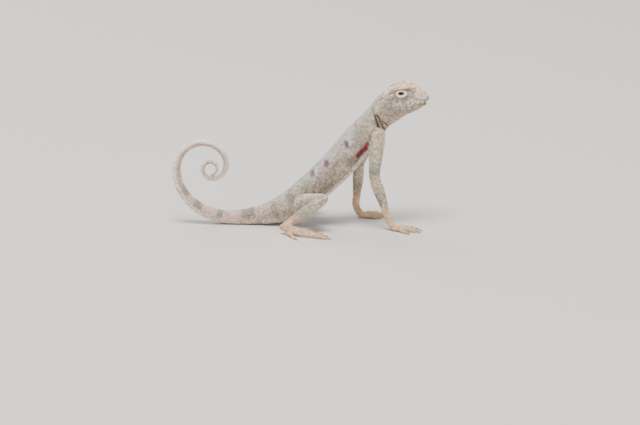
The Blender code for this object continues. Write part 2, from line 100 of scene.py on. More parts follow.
# Head: how it is held, the slit between the lids, and places counted from between the eyes
HEAD_PITCH = math.radians(14)
SLIT_PITCH = math.radians(4)
SLIT_HALF = (0.87, 0.48)
SLIT_RISE = 0.25
LID_MIDDLE = (0.06, -0.05)
LID_HALF = (1.48, 0.99)
NOSTRIL = ((5.5, 1.15, -1.8), (6.7, 1.9, -1.15))
MOUTH = ((7.6, -3.7), (6.2, -3.75), (5.1, -3.8), (2.9, -3.65), (0.7, -3.35), (-2.6, -2.6))

# Rows of scales: how far from the edge or the mouth each row lies, and how far apart its scales
LID_RINGS = ((0.10, 0.22), (0.32, 0.23), (0.55, 0.25), (0.79, 0.28))
LID_COMB = (0.10, 0.17)
NOSTRIL_RINGS = ((0.4, 0.2), (0.63, 0.26))
LIP_ROWS = (0.24, -0.24, 0.62, -0.62)
NO_LIE = np.zeros(3)
FINGER_SIZES = (2.7, 3.6, 4.5, 4.6, 3.3)
TOE_SIZES = (2.6, 4.0, 5.6, 7.4, 4.0)
DIGIT_GAP = 0.27
TAIL_GAP = 0.41

# Unwrap of the skin: its map's name, how much of it a millimetre takes, and half a scale's patch
UNWRAP_NAME = "OFBake"
UNWRAP_SCALE = 0.0125
UNWRAP_PATCH = 0.0015
UNWRAP_HEAD = ((25.6, 32.3), (32.2, 33.1))


def srgb(text: str) -> np.ndarray:
    """A colour written as six hex digits, in linear light."""
    raw = np.array([int(text[i : i + 2], 16) for i in (0, 2, 4)], float) / 255
    return np.where(raw <= 0.04045, raw / 12.92, ((raw + 0.055) / 1.055) ** 2.4)


def unit(vectors: np.ndarray) -> np.ndarray:
    """The vectors at length one."""
    return vectors / np.maximum(np.linalg.norm(vectors, axis=-1, keepdims=True), 1e-9)


def ramp(low: float, high: float, values: np.ndarray) -> np.ndarray:
    """A smooth step from 0 at low to 1 at high, which may be the lesser of the two."""
    t = np.clip((values - low) / (high - low), 0, 1)
    return t * t * (3 - 2 * t)


def turned(
    along: np.ndarray | float, up: np.ndarray | float, angle: float
) -> tuple[np.ndarray | float, np.ndarray | float]:
    """A place or a direction in the upright plane, read in axes turned by an angle."""
    cos, sin = math.cos(angle), math.sin(angle)
    return along * cos + up * sin, up * cos - along * sin


def bell(values: np.ndarray, width: float) -> np.ndarray:
    """A smooth bump that is 1 at 0 and has fallen to about a third at its width."""
    return np.exp(-((values / width) ** 2))


def cloud(points: np.ndarray, size: float, seed: float = 0.0) -> np.ndarray:
    """Soft noise from about -1 to 1, with lumps of a size. Each seed gives another cloud."""
    rows = points / size + seed
    return np.array([noise.noise(Vector(p)) for p in rows.tolist()]) * 1.6


def select_only(obj: bpy.types.Object) -> None:
    """Leaves one object selected and active, and nothing else.

    Args:
        obj: The object.
    """
    for other in bpy.context.selected_objects:
        other.select_set(False)
    obj.select_set(True)
    bpy.context.view_layer.objects.active = obj


def apply_modifiers(obj: bpy.types.Object) -> None:
    """Applies all of an object's modifiers in order.

    Args:
        obj: The object.
    """
    select_only(obj)
    for modifier in list(obj.modifiers):
        bpy.ops.object.modifier_apply(modifier=modifier.name)


def corner_table(obj: bpy.types.Object) -> tuple[np.ndarray, np.ndarray]:
    """An object's points and triangles.

    Args:
        obj: A mesh object.

    Returns:
        The points as rows of x, y and z, and the triangles as rows of three point numbers.
    """
    mesh = obj.data
    mesh.calc_loop_triangles()
    points = np.zeros(len(mesh.vertices) * 3)
    mesh.vertices.foreach_get("co", points)
    tris = np.zeros(len(mesh.loop_triangles) * 3, np.int64)
    mesh.loop_triangles.foreach_get("vertices", tris)
    return points.reshape(-1, 3), tris.reshape(-1, 3)


def node_mesh(name: str) -> tuple[np.ndarray, np.ndarray]:
    """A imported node's points in millimetres, with the doubles merged, and its triangles.

    Args:
        name: The node.

    Returns:
        Points and triangles.
    """
    points, tris = corner_table(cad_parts[name])
    points = points / MM
    key = np.round(points * MERGE).astype(np.int64)
    _, first, back = np.unique(key, axis=0, return_index=True, return_inverse=True)
    return points[first], back.reshape(-1)[tris]


def search_tree(points: np.ndarray, tris: np.ndarray) -> BVHTree:
    """A tree that finds the nearest place on a mesh."""
    return BVHTree.FromPolygons(points.tolist(), tris.tolist())


def gaps_to(tree: BVHTree, points: np.ndarray) -> np.ndarray:
    """How far each place lies from the mesh of a tree."""
    return np.array([tree.find_nearest(p)[3] for p in points.tolist()])


def node_middle(name: str) -> np.ndarray:
    """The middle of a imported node's box, in metres."""
    low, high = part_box(name)
    return np.array((low + high) / 2)


def placed(name: str, data: bpy.types.ID) -> bpy.types.Object:
    """A new object in the scene.

    Args:
        name: Its name.
        data: Its mesh, lamp or camera.

    Returns:
        The object.
    """
    obj = bpy.data.objects.new(name, data)
    bpy.context.scene.collection.objects.link(obj)
    return obj


def mesh_object(name: str, points: np.ndarray, tris: np.ndarray) -> bpy.types.Object:
    """A new mesh object in the scene.

    Args:
        name: Its name.
        points: Its points, in the units that they are given in.
        tris: Its triangles, as rows of point numbers.

    Returns:
        The object.
    """
    mesh = bpy.data.meshes.new(name)
    mesh.from_pydata(points.tolist(), [], tris.tolist())
    return placed(name, mesh)


def set_tint(obj: bpy.types.Object, colours: np.ndarray) -> None:
    """Stores a colour at each point, under the name that the finishes read.

    Args:
        obj: A mesh object.
        colours: Linear red, green and blue, a row for each point.
    """
    rows = np.ones((len(colours), 4), np.float32)
    rows[:, :3] = np.clip(colours, 0, 1)
    layer = obj.data.color_attributes.new("tint", "FLOAT_COLOR", "POINT")
    layer.data.foreach_set("color", rows.ravel())


def settle(obj: bpy.types.Object, material: bpy.types.Material) -> None:
    """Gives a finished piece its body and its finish.

    Args:
        obj: The piece.
        material: Its finish.
    """
    obj.data.materials.clear()
    obj.data.materials.append(material)
    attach(obj, BODY)
    LOG.info("%s: %d faces", obj.name, len(obj.data.polygons))


class Zone(Enum):
    """The parts of the body that carry scales of their own kind."""

    HEAD = 0
    TRUNK = 1
    TAIL = 2
    LIMB = 3
    HAND = 4
    DIGIT = 5


@dataclass(frozen=True)
class ZoneForm:
    """How the scales of a zone look."""

    pitch: float  # from one scale to the next, in millimetres
    rise: float  # how high a scale stands over the skin
    keel: float  # how much its middle ridge adds
    lap: float  # how far it leans over the next one, as a share of its length
    sides: int  # the corners of its outline
    deep: float  # how far the skin lies inside the solids


FORMS = {
    Zone.HEAD: ZoneForm(0.34, 0.075, 0.0, 0.05, 8, 0.08),
    Zone.TRUNK: ZoneForm(0.335, 0.075, 0.012, 0.19, 8, 0.08),
    Zone.TAIL: ZoneForm(0.44, 0.08, 0.045, 0.24, 8, 0.10),
    Zone.LIMB: ZoneForm(0.31, 0.065, 0.015, 0.21, 8, 0.07),
    Zone.HAND: ZoneForm(0.27, 0.05, 0.0, 0.16, 6, 0.05),
    Zone.DIGIT: ZoneForm(0.23, 0.04, 0.0, 0.16, 6, 0.04),
}


@dataclass(frozen=True)
class Member:
    """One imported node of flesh."""

    name: str  # the node
    zone: Zone  # the kind of its scales
    onto: tuple[str, ...]  # the nodes that it grows from, which its open end is pushed into
    toward: str  # the node that its scales point to


def body_members() -> list[Member]:
    """All flesh nodes, with what each grows from and which way its scales lie.

    Returns:
        The members.
    """
    found = [
        Member("head", Zone.HEAD, ("neck",), "neck"),
        Member("jaw", Zone.HEAD, ("head", "neck"), "neck"),
        Member("neck", Zone.TRUNK, ("torso",), "torso"),
        Member("torso", Zone.TRUNK, (), "hips"),
        Member("hips", Zone.TRUNK, ("torso",), "tail_1"),
    ]
    for number in range(1, 9):
        before = "hips" if number == 1 else f"tail_{number - 1}"
        after = f"tail_{min(number + 1, 8)}"
        found.append(Member(f"tail_{number}", Zone.TAIL, (before,), after))
    for side in SIDES:
        chain = (
            ("upper_arm", Zone.LIMB, ("torso",), "forearm"),
            ("forearm", Zone.LIMB, ("upper_arm",), "hand"),
            ("hand", Zone.HAND, ("forearm",), "claw_finger_3"),
            ("thigh", Zone.LIMB, ("hips", "torso"), "shank"),
            ("shank", Zone.LIMB, ("thigh",), "foot"),
            ("foot", Zone.HAND, ("shank",), "claw_toe_3"),
        )
        for name, zone, onto, toward in chain:
            roots = tuple(o if o in ("torso", "hips") else f"{o}_{side}" for o in onto)
            found.append(Member(f"{name}_{side}", zone, roots, f"{toward}_{side}"))
        for number in range(1, 6):
            foot = (f"foot_{side}",)
            claw = f"claw_toe_{number}_{side}"
            found.append(Member(f"toe_{number}_{side}", Zone.DIGIT, foot, claw))
    return found


@dataclass
class TailLine:
    """The middle line of the curled tail."""

    step: float = 0.05  # the length between the points that it is kept as
    points: np.ndarray = field(init=False)
    headings: np.ndarray = field(init=False)
    lengths: np.ndarray = field(init=False)
    halves: np.ndarray = field(init=False)
    tree: KDTree = field(init=False)

    def __post_init__(self) -> None:
        """Walks the line from its headings."""
        table = np.array(TAIL_LINE, float)
        self.lengths = np.arange(0, table[-1, 0] + self.step, self.step)
        self.headings = np.radians(self.smooth(table[:, 0], table[:, 1]))
        self.halves = self.smooth(table[:, 0], table[:, 2])
        legs = np.stack((np.cos(self.headings), np.sin(self.headings)), 1) * self.step
        walk = np.cumsum(legs, 0) - legs / 2 + np.array(TAIL_START)
        self.points = np.stack((walk[:, 0], np.zeros(len(walk)), walk[:, 1]), 1)
        self.tree = KDTree(len(self.points))
        for k, p in enumerate(self.points):
            self.tree.insert(p, k)
        self.tree.balance()

    def smooth(self, at: np.ndarray, values: np.ndarray) -> np.ndarray:
        """A column of the table as a smooth curve.

        Args:
            at: The lengths in the table.
            values: The column.

        Returns:
            Its value at each length of the line.
        """
        slopes = np.gradient(values, at)
        k = np.clip(np.searchsorted(at, self.lengths, "right") - 1, 0, len(at) - 2)
        gap = at[k + 1] - at[k]
        t = np.clip((self.lengths - at[k]) / gap, 0, 1)
        rise = t * t * (3 - 2 * t)
        start = t * (1 - t) ** 2 * gap * slopes[k]
        end = t * t * (t - 1) * gap * slopes[k + 1]
        return values[k] * (1 - rise) + values[k + 1] * rise + start + end

    def nearest(self, points: np.ndarray) -> np.ndarray:
        """The number of the line's point nearest each of the points."""
        return np.array([self.tree.find(p)[1] for p in points], np.int64)


@dataclass
class TrunkLine:
    """The middle line of the trunk, in the upright plane."""

    line: tuple[tuple[float, float], ...] = TRUNK_LINE

    def __post_init__(self) -> None:
        """Keeps the line and the length at each of its points."""
        self.points = np.array(self.line)
        self.legs = np.diff(self.points, axis=0)
        self.sizes = np.linalg.norm(self.legs, axis=1)
        self.starts = np.concatenate(([0], np.cumsum(self.sizes)[:-1]))

    def read(self, points: np.ndarray, past: float = 0.0) -> tuple[np.ndarray, np.ndarray]:
        """Where places lie on the trunk.

        Args:
            points: Places.
            past: How far the line goes on beyond its last point.

        Returns:
            The length along the line from the tail's root, and the height over it.
        """
        flat = points[:, (0, 2)]
        best = np.full(len(flat), 1e9)
        along, high = np.zeros(len(flat)), np.zeros(len(flat))
        for a, leg, size, start in zip(self.points, self.legs, self.sizes, self.starts):
            way = leg / size
            off = flat - a
            t = np.clip(off @ way, 0, size + past * (start == self.starts[-1]))
            gap = np.linalg.norm(off - t[:, None] * way, axis=1)
            side = off @ np.array((-way[1], way[0]))
            near = gap < best
            best = np.where(near, gap, best)
            along = np.where(near, start + t, along)
            high = np.where(near, side, high)
        return along, high


class Body:
    """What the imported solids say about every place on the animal."""

    def __init__(self) -> None:
        """Reads the nodes and finds the way each part's scales lie."""
        self.members = body_members()
        self.meshes = {m.name: node_mesh(m.name) for m in self.members}
        self.middles = {name: node_middle(name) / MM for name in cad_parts}
        points, tris = zip(*self.meshes.values())
        bases = np.cumsum([0, *map(len, points[:-1])])
        self.owner = np.repeat(np.arange(len(tris)), [len(rows) for rows in tris])
        joined = np.concatenate([rows + base for rows, base in zip(tris, bases)])
        self.tree = search_tree(np.concatenate(points), joined)
        self.tail = TailLine()
        self.trunk = TrunkLine()
        self.lies = np.array([self.node_lie(m) for m in self.members])
        self.zones = np.array([m.zone.value for m in self.members])
        self.eye = (self.middles["eye_right"] + self.middles["eye_left"]) / 2
        self.eye_out = abs(self.middles["eye_right"][1])

    def node_lie(self, member: Member) -> np.ndarray:
        """The way that a node's scales point."""
        return unit(self.middles[member.toward] - self.middles[member.name] + 1e-6)

    def owners(self, points: np.ndarray) -> np.ndarray:
        """The flesh node nearest each place."""
        find = self.tree.find_nearest
        return self.owner[[find(p)[2] for p in points.tolist()]]

    def named(self, *starts: str) -> np.ndarray:
        """Which members have a name that begins in one of these ways."""
        return np.array([m.name.startswith(starts) for m in self.members])

    def head_place(self, points: np.ndarray) -> np.ndarray:
        """Places counted from between the eyes, along the head, sideways and up.

        Args:
            points: Places.

        Returns:
            Rows of along, side (never negative) and up.
        """
        off = points - self.eye
        along, up = turned(off[:, 0], off[:, 2], HEAD_PITCH)
        return np.stack((along, np.abs(off[:, 1]), up), 1)

    def head_way(self, way: tuple[float, float, float]) -> np.ndarray:
        """A step along, sideways and up the head, as x, y and z."""
        x, z = turned(way[0], way[2], -HEAD_PITCH)
        return np.array((x, way[1], z))

    def hole(self, side: float) -> tuple[np.ndarray, np.ndarray]:
        """The inner end of the line down the middle of a nostril, and its way out."""
        start, end = (self.eye + self.head_way((a, side * b, c)) for a, b, c in NOSTRIL)
        return start, unit(end - start)

    def slit_place(self, points: np.ndarray) -> tuple[np.ndarray, np.ndarray]:
        """How far along the near eye's slit places lie, and how far above its middle."""
        off = points - self.eye - (0, 0, SLIT_RISE)
        return turned(off[:, 0], off[:, 2], SLIT_PITCH)

    def reach(
        self,
        points: np.ndarray,
        half: tuple[float, float],
        middle: tuple[float, float] = (0.0, 0.0),
    ) -> np.ndarray:
        """How far out places lie, as a share of an ellipse round the slit.

        Args:
            points: Places.
            half: Half the ellipse's length and height.
            middle: Its middle, counted from the slit's.

        Returns:
            1 on the ellipse, less within it, and large away from the eyes.
        """
        along, up = self.slit_place(points)
        share = np.hypot((along - middle[0]) / half[0], (up - middle[1]) / half[1])
        return np.where(np.abs(points[:, 1]) > self.eye_out - 0.6, share, 99.0)

    def lid_reach(self, points: np.ndarray) -> np.ndarray:
        """How far out from the middle of the lids places lie, with 1 on their rim."""
        return self.reach(points, LID_HALF, LID_MIDDLE)

    def slit_reach(self, points: np.ndarray) -> np.ndarray:
        """How far out from the slit's middle places lie, with 1 on its outline."""
        return self.reach(points, SLIT_HALF)


@dataclass
class Grid:
    """A triangle mesh as arrays, with the sums over neighbours that shaping needs."""

    points: np.ndarray  # rows of x, y and z
    tris: np.ndarray  # rows of three point numbers

    def __post_init__(self) -> None:
        """Finds the edges."""
        tris, size = self.tris, len(self.points)
        pairs = np.concatenate((tris[:, :2], tris[:, 1:], tris[:, ::2]))
        pairs.sort(axis=1)
        flat = np.unique(pairs[:, 0] * size + pairs[:, 1])
        self.left, self.right = flat // size, flat % size
        self.count = np.bincount(self.left, minlength=size).astype(float)
        self.count += np.bincount(self.right, minlength=size)
        self.count = np.maximum(self.count, 1)[:, None]

    def mean(self, values: np.ndarray) -> np.ndarray:
        """The mean of a value over each point's neighbours.

        Args:
            values: A row for each point.

        Returns:
            A row for each point.
        """
        size = len(self.points)
        out = np.empty_like(values, float)
        for k in range(values.shape[1]):
            column = values[:, k]
            out[:, k] = np.bincount(self.left, column[self.right], size)
            out[:, k] += np.bincount(self.right, column[self.left], size)
        return out / self.count

    def spread(self, values: np.ndarray, times: int) -> np.ndarray:
        """A value smoothed over the mesh.

        Args:
            values: A row for each point.
            times: How many rounds.

        Returns:
            A row for each point.
        """
        for _ in range(times):
            values = values * 0.5 + self.mean(values) * 0.5
        return values

    def fair(self, weights: np.ndarray, times: int) -> None:
        """Smooths the shape without shrinking it.

        Args:
            weights: How much each point moves, from 0 to 1.
            times: How many rounds.
        """
        for _ in range(times):
            for pull in (0.55, -0.57):
                move = self.mean(self.points) - self.points
                self.points = self.points + move * (weights * pull)[:, None]

    def normals(self) -> np.ndarray:
        """The outward direction at each point.

        Returns:
            A row for each point.
        """
        a, b, c = (self.points[self.tris[:, k]] for k in range(3))
        cross = np.cross(b - a, c - a)
        out = np.zeros_like(self.points)
        size = len(self.points)
        for axis in range(3):
            for k in range(3):
                out[:, axis] += np.bincount(self.tris[:, k], cross[:, axis], size)
        return unit(out)


class Plane(Enum):
    """The flat charts in which folds and lines are drawn, alike on both flanks."""

    UPRIGHT = "x and z of the animal"
    TRUNK = "length along the trunk from the tail's root, and height over its middle line"
    HEAD = "along and up from between the eyes"


@dataclass
class Places:
    """Places on the animal, with all that its colours and folds are read from."""

    body: Body  # what the solids say
    points: np.ndarray  # the places, in millimetres
    normals: np.ndarray  # the outward directions there
    owners: np.ndarray  # the members nearest to them
    mouth: np.ndarray | None = None  # how near they lie to the mouth's line

    def __post_init__(self) -> None:
        """Reads every chart once."""
        self.zones = self.body.zones[self.owners]
        self.aside = np.abs(self.points[:, 1])
        self.along, self.high = self.body.trunk.read(self.points)
        self.head = self.body.head_place(self.points)
        self.slit = self.body.slit_reach(self.points)
        self.face = self.on("head", "jaw")
        self.charts = {
            Plane.UPRIGHT: self.points[:, (0, 2)],
            Plane.TRUNK: np.stack((self.along, self.high), 1),
            Plane.HEAD: self.head[:, (0, 2)],
        }

    def on(self, *starts: str) -> np.ndarray:
        """Whether each place lies on a node whose name begins in one of these ways."""
        return self.body.named(*starts)[self.owners]


@dataclass(frozen=True)
class Crease:
    """A fold, a ridge or a coloured line on head and trunk, alike on both flanks."""

    plane: Plane  # the chart that it is drawn in
    line: tuple[tuple[float, float], ...]  # its corners in that chart, in millimetres
    width: float  # half its width
    depth: float  # the colour painted in it: painted shade in the dark folds, a painted highlight on the belly's pale ridge, its own colour elsewhere
    shade: str  # the colour in it
    strength: float  # how strongly it is coloured
    out: float = 1.4  # how far from the middle plane it starts
    gap: float = 0.0  # the gap between the scales of a row along it, 0 where it has no row

    def weight(self, places: Places) -> np.ndarray:
        """How much places lie in the fold.

        Args:
            places: The places.

        Returns:
            Numbers from 0 to 1.
        """
        flat = places.charts[self.plane]
        best = np.full(len(flat), 1e9)
        corners = np.array(self.line)
        sizes = np.linalg.norm(np.diff(corners, axis=0), axis=1)
        done = 0.0
        for a, b, size in zip(corners[:-1], corners[1:], sizes):
            t = np.clip((flat - a) @ (b - a) / size**2, 0, 1)
            gap = np.linalg.norm(flat - a - t[:, None] * (b - a), axis=1)
            part = (done + t * size) / sizes.sum()
            thin = 0.35 + 0.65 * np.sqrt(np.clip(4 * part * (1 - part), 0, 1))
            best = np.minimum(best, gap / thin)
            done += size
        on = places.zones <= Zone.TRUNK.value
        return bell(best, self.width) * ramp(self.out - 0.4, self.out + 0.4, places.aside) * on


CREASE_ROWS = {
    Plane.UPRIGHT: (
        # The folds in front of the shoulder, with a ridge between them; the dark colour in the
        # folds is painted shade
        (((18.5, 29.0), (19.0, 27.5), (19.6, 25.2)), 0.46, 0.36, "3d3424", 1.0, 1.4, 0.27),
        (((19.0, 29.0), (20.4, 27.4), (22.0, 25.8)), 0.24, 0.28, "43361f", 0.95, 1.4, 0.27),
        (((19.6, 27.9), (20.5, 26.0), (21.6, 24.0)), 0.34, 0.30, "40341f", 0.95, 1.4, 0.27),
        (((19.9, 28.0), (21.0, 26.4), (21.9, 25.0)), 0.14, -0.14, "b8a07c", 0.8, 1.4, 0.27),
        (((18.8, 28.6), (19.9, 26.9), (20.5, 25.2)), 0.17, -0.18, "b19b79", 0.8, 1.4, 0.27),
        # The fold down the side of the neck, the pale line behind the jaw, and the armpit; the dark
        # colour in the folds and the armpit is painted shade
        (((18.2, 31.9), (18.0, 30.4), (18.4, 29.0)), 0.24, 0.18, "766a58", 0.6),
        (((21.0, 32.9), (19.3, 31.0), (18.6, 29.4)), 0.26, -0.10, "e2d3bb", 0.75),
        (((20.0, 33.1), (18.6, 31.4), (18.0, 30.0)), 0.16, 0.12, "8a7c69", 0.55),
        (((17.7, 24.4), (17.3, 22.6), (16.9, 20.8)), 0.22, 0.16, "7d6740", 0.7),
    ),
    Plane.TRUNK: (
        # The pale fold along the belly's edge, its pale colour a painted highlight on the ridge,
        # with a line of painted shade above it, and wrinkles of the flank and the groin, dark with
        # painted shade
        (((32.6, -2.9), (26.0, -3.3), (16.5, -3.1)), 0.52, -0.2, "f3ead8", 0.95),
        (((31.4, -2.3), (25.0, -2.6), (17.0, -2.4)), 0.18, 0.14, "85796a", 0.6),
        (((27.8, 1.0), (27.0, -0.2), (26.6, -1.8)), 0.15, 0.14, "857867", 0.6),
        (((25.4, 0.4), (24.8, -0.8), (24.6, -2.2)), 0.13, 0.12, "8a7e6c", 0.5),
        (((22.6, -0.6), (20.4, -1.2), (18.8, -2.2)), 0.13, 0.13, "82776a", 0.55),
        (((18.6, 1.6), (15.4, -0.2), (13.6, -1.7)), 0.18, 0.18, "71695f", 0.7),
        (((15.8, 2.0), (13.6, 0.8), (12.3, -0.8)), 0.16, 0.16, "71695f", 0.65),
        (((18.4, -1.2), (15.5, -1.3), (13.2, -2.6)), 0.15, 0.16, "776c5f", 0.6),
        (((17.4, 0.2), (16.6, -0.9), (15.2, -1.8)), 0.12, 0.12, "776c5f", 0.55),
    ),
    Plane.HEAD: (
        # The brown line under the brow, partly its own colour and partly painted shade under the
        # brow, and the folds before and behind the eye, whose dark lines are painted shade
        (
            ((-3.7, 0.78), (-2.8, 1.04), (-1.6, 1.13), (-0.2, 1.12), (1.2, 0.92), (2.2, 0.45)),
            *(0.25, 0.06, "aa733a", 0.95, 2.4),
        ),
        (((1.9, 0.3), (2.6, -0.1), (3.8, -0.7)), 0.24, 0.09, "94836d", 0.65, 1.8),
        (((-1.8, -0.4), (-2.8, -0.75), (-4.2, -0.6)), 0.26, 0.09, "8d7f6f", 0.65),
        (((-2.0, 0.3), (-3.2, 0.05), (-4.8, 0.35)), 0.18, -0.06, "cdbfa9", 0.5, 2.4),
    ),
}
CREASES = [Crease(plane, *row) for plane, rows in CREASE_ROWS.items() for row in rows]


@dataclass
class Skin:
    """The one skin over all the flesh."""

    body: Body  # what the solids say
    voxel: float = 0.11  # the size of the cells that fuse the nodes
    reach: float = 0.46  # how near a root has to lie for an end to be pushed into it
    sink: float = 0.16  # how far beyond the root's face it is pushed
    keep: float = 0.232  # the share of triangles kept away from the face and the digits
    slit_depth: float = 0.55  # how far the eye's slit goes in
    lid_rise: float = 0.12  # how much the lids bulge
    lid_fold: float = 0.12  # how deep the fold round them is
    mouth_depth: float = 0.13  # how deep the line of the mouth is
    ball: tuple[float, float, float] = (1.6, 1.58, 1.3)  # half the size of the ball in each eye
    grid: Grid = field(init=False)
    owners: np.ndarray = field(init=False)
    normals: np.ndarray = field(init=False)
    lies: np.ndarray = field(init=False)
    mouth: np.ndarray = field(init=False)
    tree: BVHTree = field(init=False)

    def pushed(self, member: Member) -> np.ndarray:
        """A node's points, with the open end pushed into what it grows from.

        Args:
            member: The node.

        Returns:
            Its points.
        """
        points, _ = self.body.meshes[member.name]
        points = points.copy()
        for root in member.onto:
            tree = search_tree(*self.body.meshes[root])
            for k, q in enumerate(points):
                place, _, _, gap = tree.find_nearest(Vector(q), self.reach)
                if place is not None:
                    way = np.array(place) - q
                    points[k] = q + way * (1 + self.sink / max(gap, 0.05))
        return points

    def cast(self) -> bpy.types.Object:
        """The nodes fused into one closed mesh.

        Returns:
            The object, in millimetres.
        """
        parts = []
        for member in self.body.members:
            tris = self.body.meshes[member.name][1]
            parts.append(mesh_object("cast", self.pushed(member), tris))
        for side in SIDES:
            bpy.ops.mesh.primitive_uv_sphere_add(
                segments=32, ring_count=20, radius=1, location=self.body.middles[f"eye_{side}"]
            )
            ball = bpy.context.object
            ball.scale = self.ball
            select_only(ball)
            bpy.ops.object.transform_apply(location=True, rotation=True, scale=True)
            parts.append(ball)
        select_only(parts[0])
        for part in parts[1:]:
            part.select_set(True)
        bpy.ops.object.join()
        cast = bpy.context.object
        cast.name = "skin"
        cells = cast.modifiers.new("cells", "REMESH")
        cells.mode = "VOXEL"
        cells.voxel_size = self.voxel
        cells.use_smooth_shade = True
        apply_modifiers(cast)
        return cast

    def thin(self, cast: bpy.types.Object) -> None:
        """Smooths the cells away and takes out triangles that the shape doesn't need.

        Args:
            cast: The fused mesh.
        """
        grid = Grid(*corner_table(cast))
        zones = self.body.zones[self.body.owners(grid.points)]
        fine = (zones == Zone.HEAD.value) | (zones >= Zone.HAND.value)
        soft = grid.spread(np.where(fine, 0.35, 1.0)[:, None], 6)[:, 0]
        grid.fair(soft, 14)
        cast.data.vertices.foreach_set("co", grid.points.ravel())
        group = cast.vertex_groups.new(name="plain")
        group.add(np.nonzero(~fine)[0].tolist(), 1.0, "REPLACE")
        group.add(np.nonzero(fine)[0].tolist(), 0.35, "REPLACE")
        fewer = cast.modifiers.new("fewer", "DECIMATE")
        fewer.ratio = self.keep
        fewer.vertex_group = "plain"
        apply_modifiers(cast)
        cast.vertex_groups.clear()

    def split_lids(self, skin: bpy.types.Object, reach: float) -> None:
        """Gives the lids smaller faces, so that the slit has a clean edge.

        Args:
            skin: The skin.
            reach: How far out from the slit's middle, as a share of its outline.
        """
        points, _ = corner_table(skin)
        near = self.body.slit_reach(points) < reach
        mesh = skin.data
        chosen = [bool(near[list(p.vertices)].all()) for p in mesh.polygons]
        select_only(skin)
        bpy.ops.object.mode_set(mode="EDIT")
        bpy.ops.mesh.select_mode(type="FACE")
        bpy.ops.mesh.select_all(action="DESELECT")
        bpy.ops.object.mode_set(mode="OBJECT")
        mesh.polygons.foreach_set("select", chosen)
        bpy.ops.object.mode_set(mode="EDIT")
        bpy.ops.mesh.subdivide(number_cuts=1)
        bpy.ops.mesh.quads_convert_to_tris()
        bpy.ops.object.mode_set(mode="OBJECT")

    def build(self) -> bpy.types.Object:
        """Makes the skin, and keeps what the scales read of it.

        Returns:
            The finished object, in metres.
        """
        skin = self.cast()
        self.thin(skin)
        for reach in (2.2, 1.5):
            self.split_lids(skin, reach)
        self.grid = Grid(*corner_table(skin))
        self.owners = self.body.owners(self.grid.points)
        self.inset()
        self.fold()
        self.read_fields()
        skin.data.vertices.foreach_set("co", (self.grid.points * MM).ravel())
        skin.data.update()
        LOG.info("skin: %d triangles", len(self.grid.tris))
        return skin

    def inset(self) -> None:
        """Draws the skin in by the depth of the scales."""
        deep = np.array([FORMS[m.zone].deep for m in self.body.members])
        depth = self.grid.spread(deep[self.owners][:, None], 8)
        self.grid.points = self.grid.points - self.grid.normals() * depth

    def mouth_line(self) -> np.ndarray:
        """How near each point lies to the line between the head and the jaw.

        Returns:
            1 on the line, fading to 0 beside it.
        """
        points = self.grid.points
        close = np.nonzero(self.body.zones[self.owners] == Zone.HEAD.value)[0]
        upper = gaps_to(search_tree(*self.body.meshes["head"]), points[close])
        lower = gaps_to(search_tree(*self.body.meshes["jaw"]), points[close])
        line = np.zeros(len(points))
        line[close] = bell(upper - lower, 0.11) * ramp(0.5, 0.3, np.minimum(upper, lower))
        line *= ramp(-2.9, -1.9, self.body.head_place(points)[:, 0])
        return line

    def dome(self) -> None:
        """Lays the lids of each eye on one smooth dome, and sinks the slit into it."""
        points = self.grid.points
        for side in SIDES.values():
            a, b = self.body.slit_place(points)
            lid, slit = self.body.lid_reach(points), self.body.slit_reach(points)
            here = points[:, 1] * side > 0
            terms = np.stack((a * 0 + 1, a, b, a * a, b * b, a * b), 1)
            ring = here & (lid > 0.8) & (lid < 1.1)
            best = np.linalg.lstsq(terms[ring], points[ring, 1], rcond=None)[0]
            bulge = side * self.lid_rise * ramp(1.0, 0.5, lid)
            weight = ramp(1.05, 0.82, lid) * here
            level = terms @ best + bulge - side * self.slit_depth * ramp(1.07, 0.95, slit)
            points[:, 1] += (level - points[:, 1]) * weight

    def fold(self) -> None:
        """Presses in the folds, the mouth's line and the slits of the eyes."""
        grid, body = self.grid, self.body
        self.dome()
        normals = grid.normals()
        points = grid.points
        places = Places(body, points, normals, self.owners)
        push = np.zeros(len(points))
        for crease in CREASES:
            push += crease.weight(places) * crease.depth
        self.mouth = self.mouth_line()
        push += self.mouth * self.mouth_depth
        lid = body.lid_reach(points)
        push += bell(lid - 1.06, 0.08) * self.lid_fold
        grid.points = points - normals * push[:, None]
        grid.fair(0.25 * (push != 0) * (lid > 1.2), 2)

    def read_fields(self) -> None:
        """Works out the normals, the lie of the scales and the search tree."""
        self.normals = self.grid.normals()
        lies = self.body.lies[self.owners]
        tail = self.body.zones[self.owners] == Zone.TAIL.value
        turn = self.body.tail.headings[self.body.tail.nearest(self.grid.points[tail])]
        lies[tail] = np.stack((np.cos(turn), 0 * turn, np.sin(turn)), 1)
        self.lies = unit(self.grid.spread(lies, 24))
        self.tree = search_tree(self.grid.points, self.grid.tris)


Values = dict[str | int, float | tuple[float, ...] | bpy.types.NodeSocket]


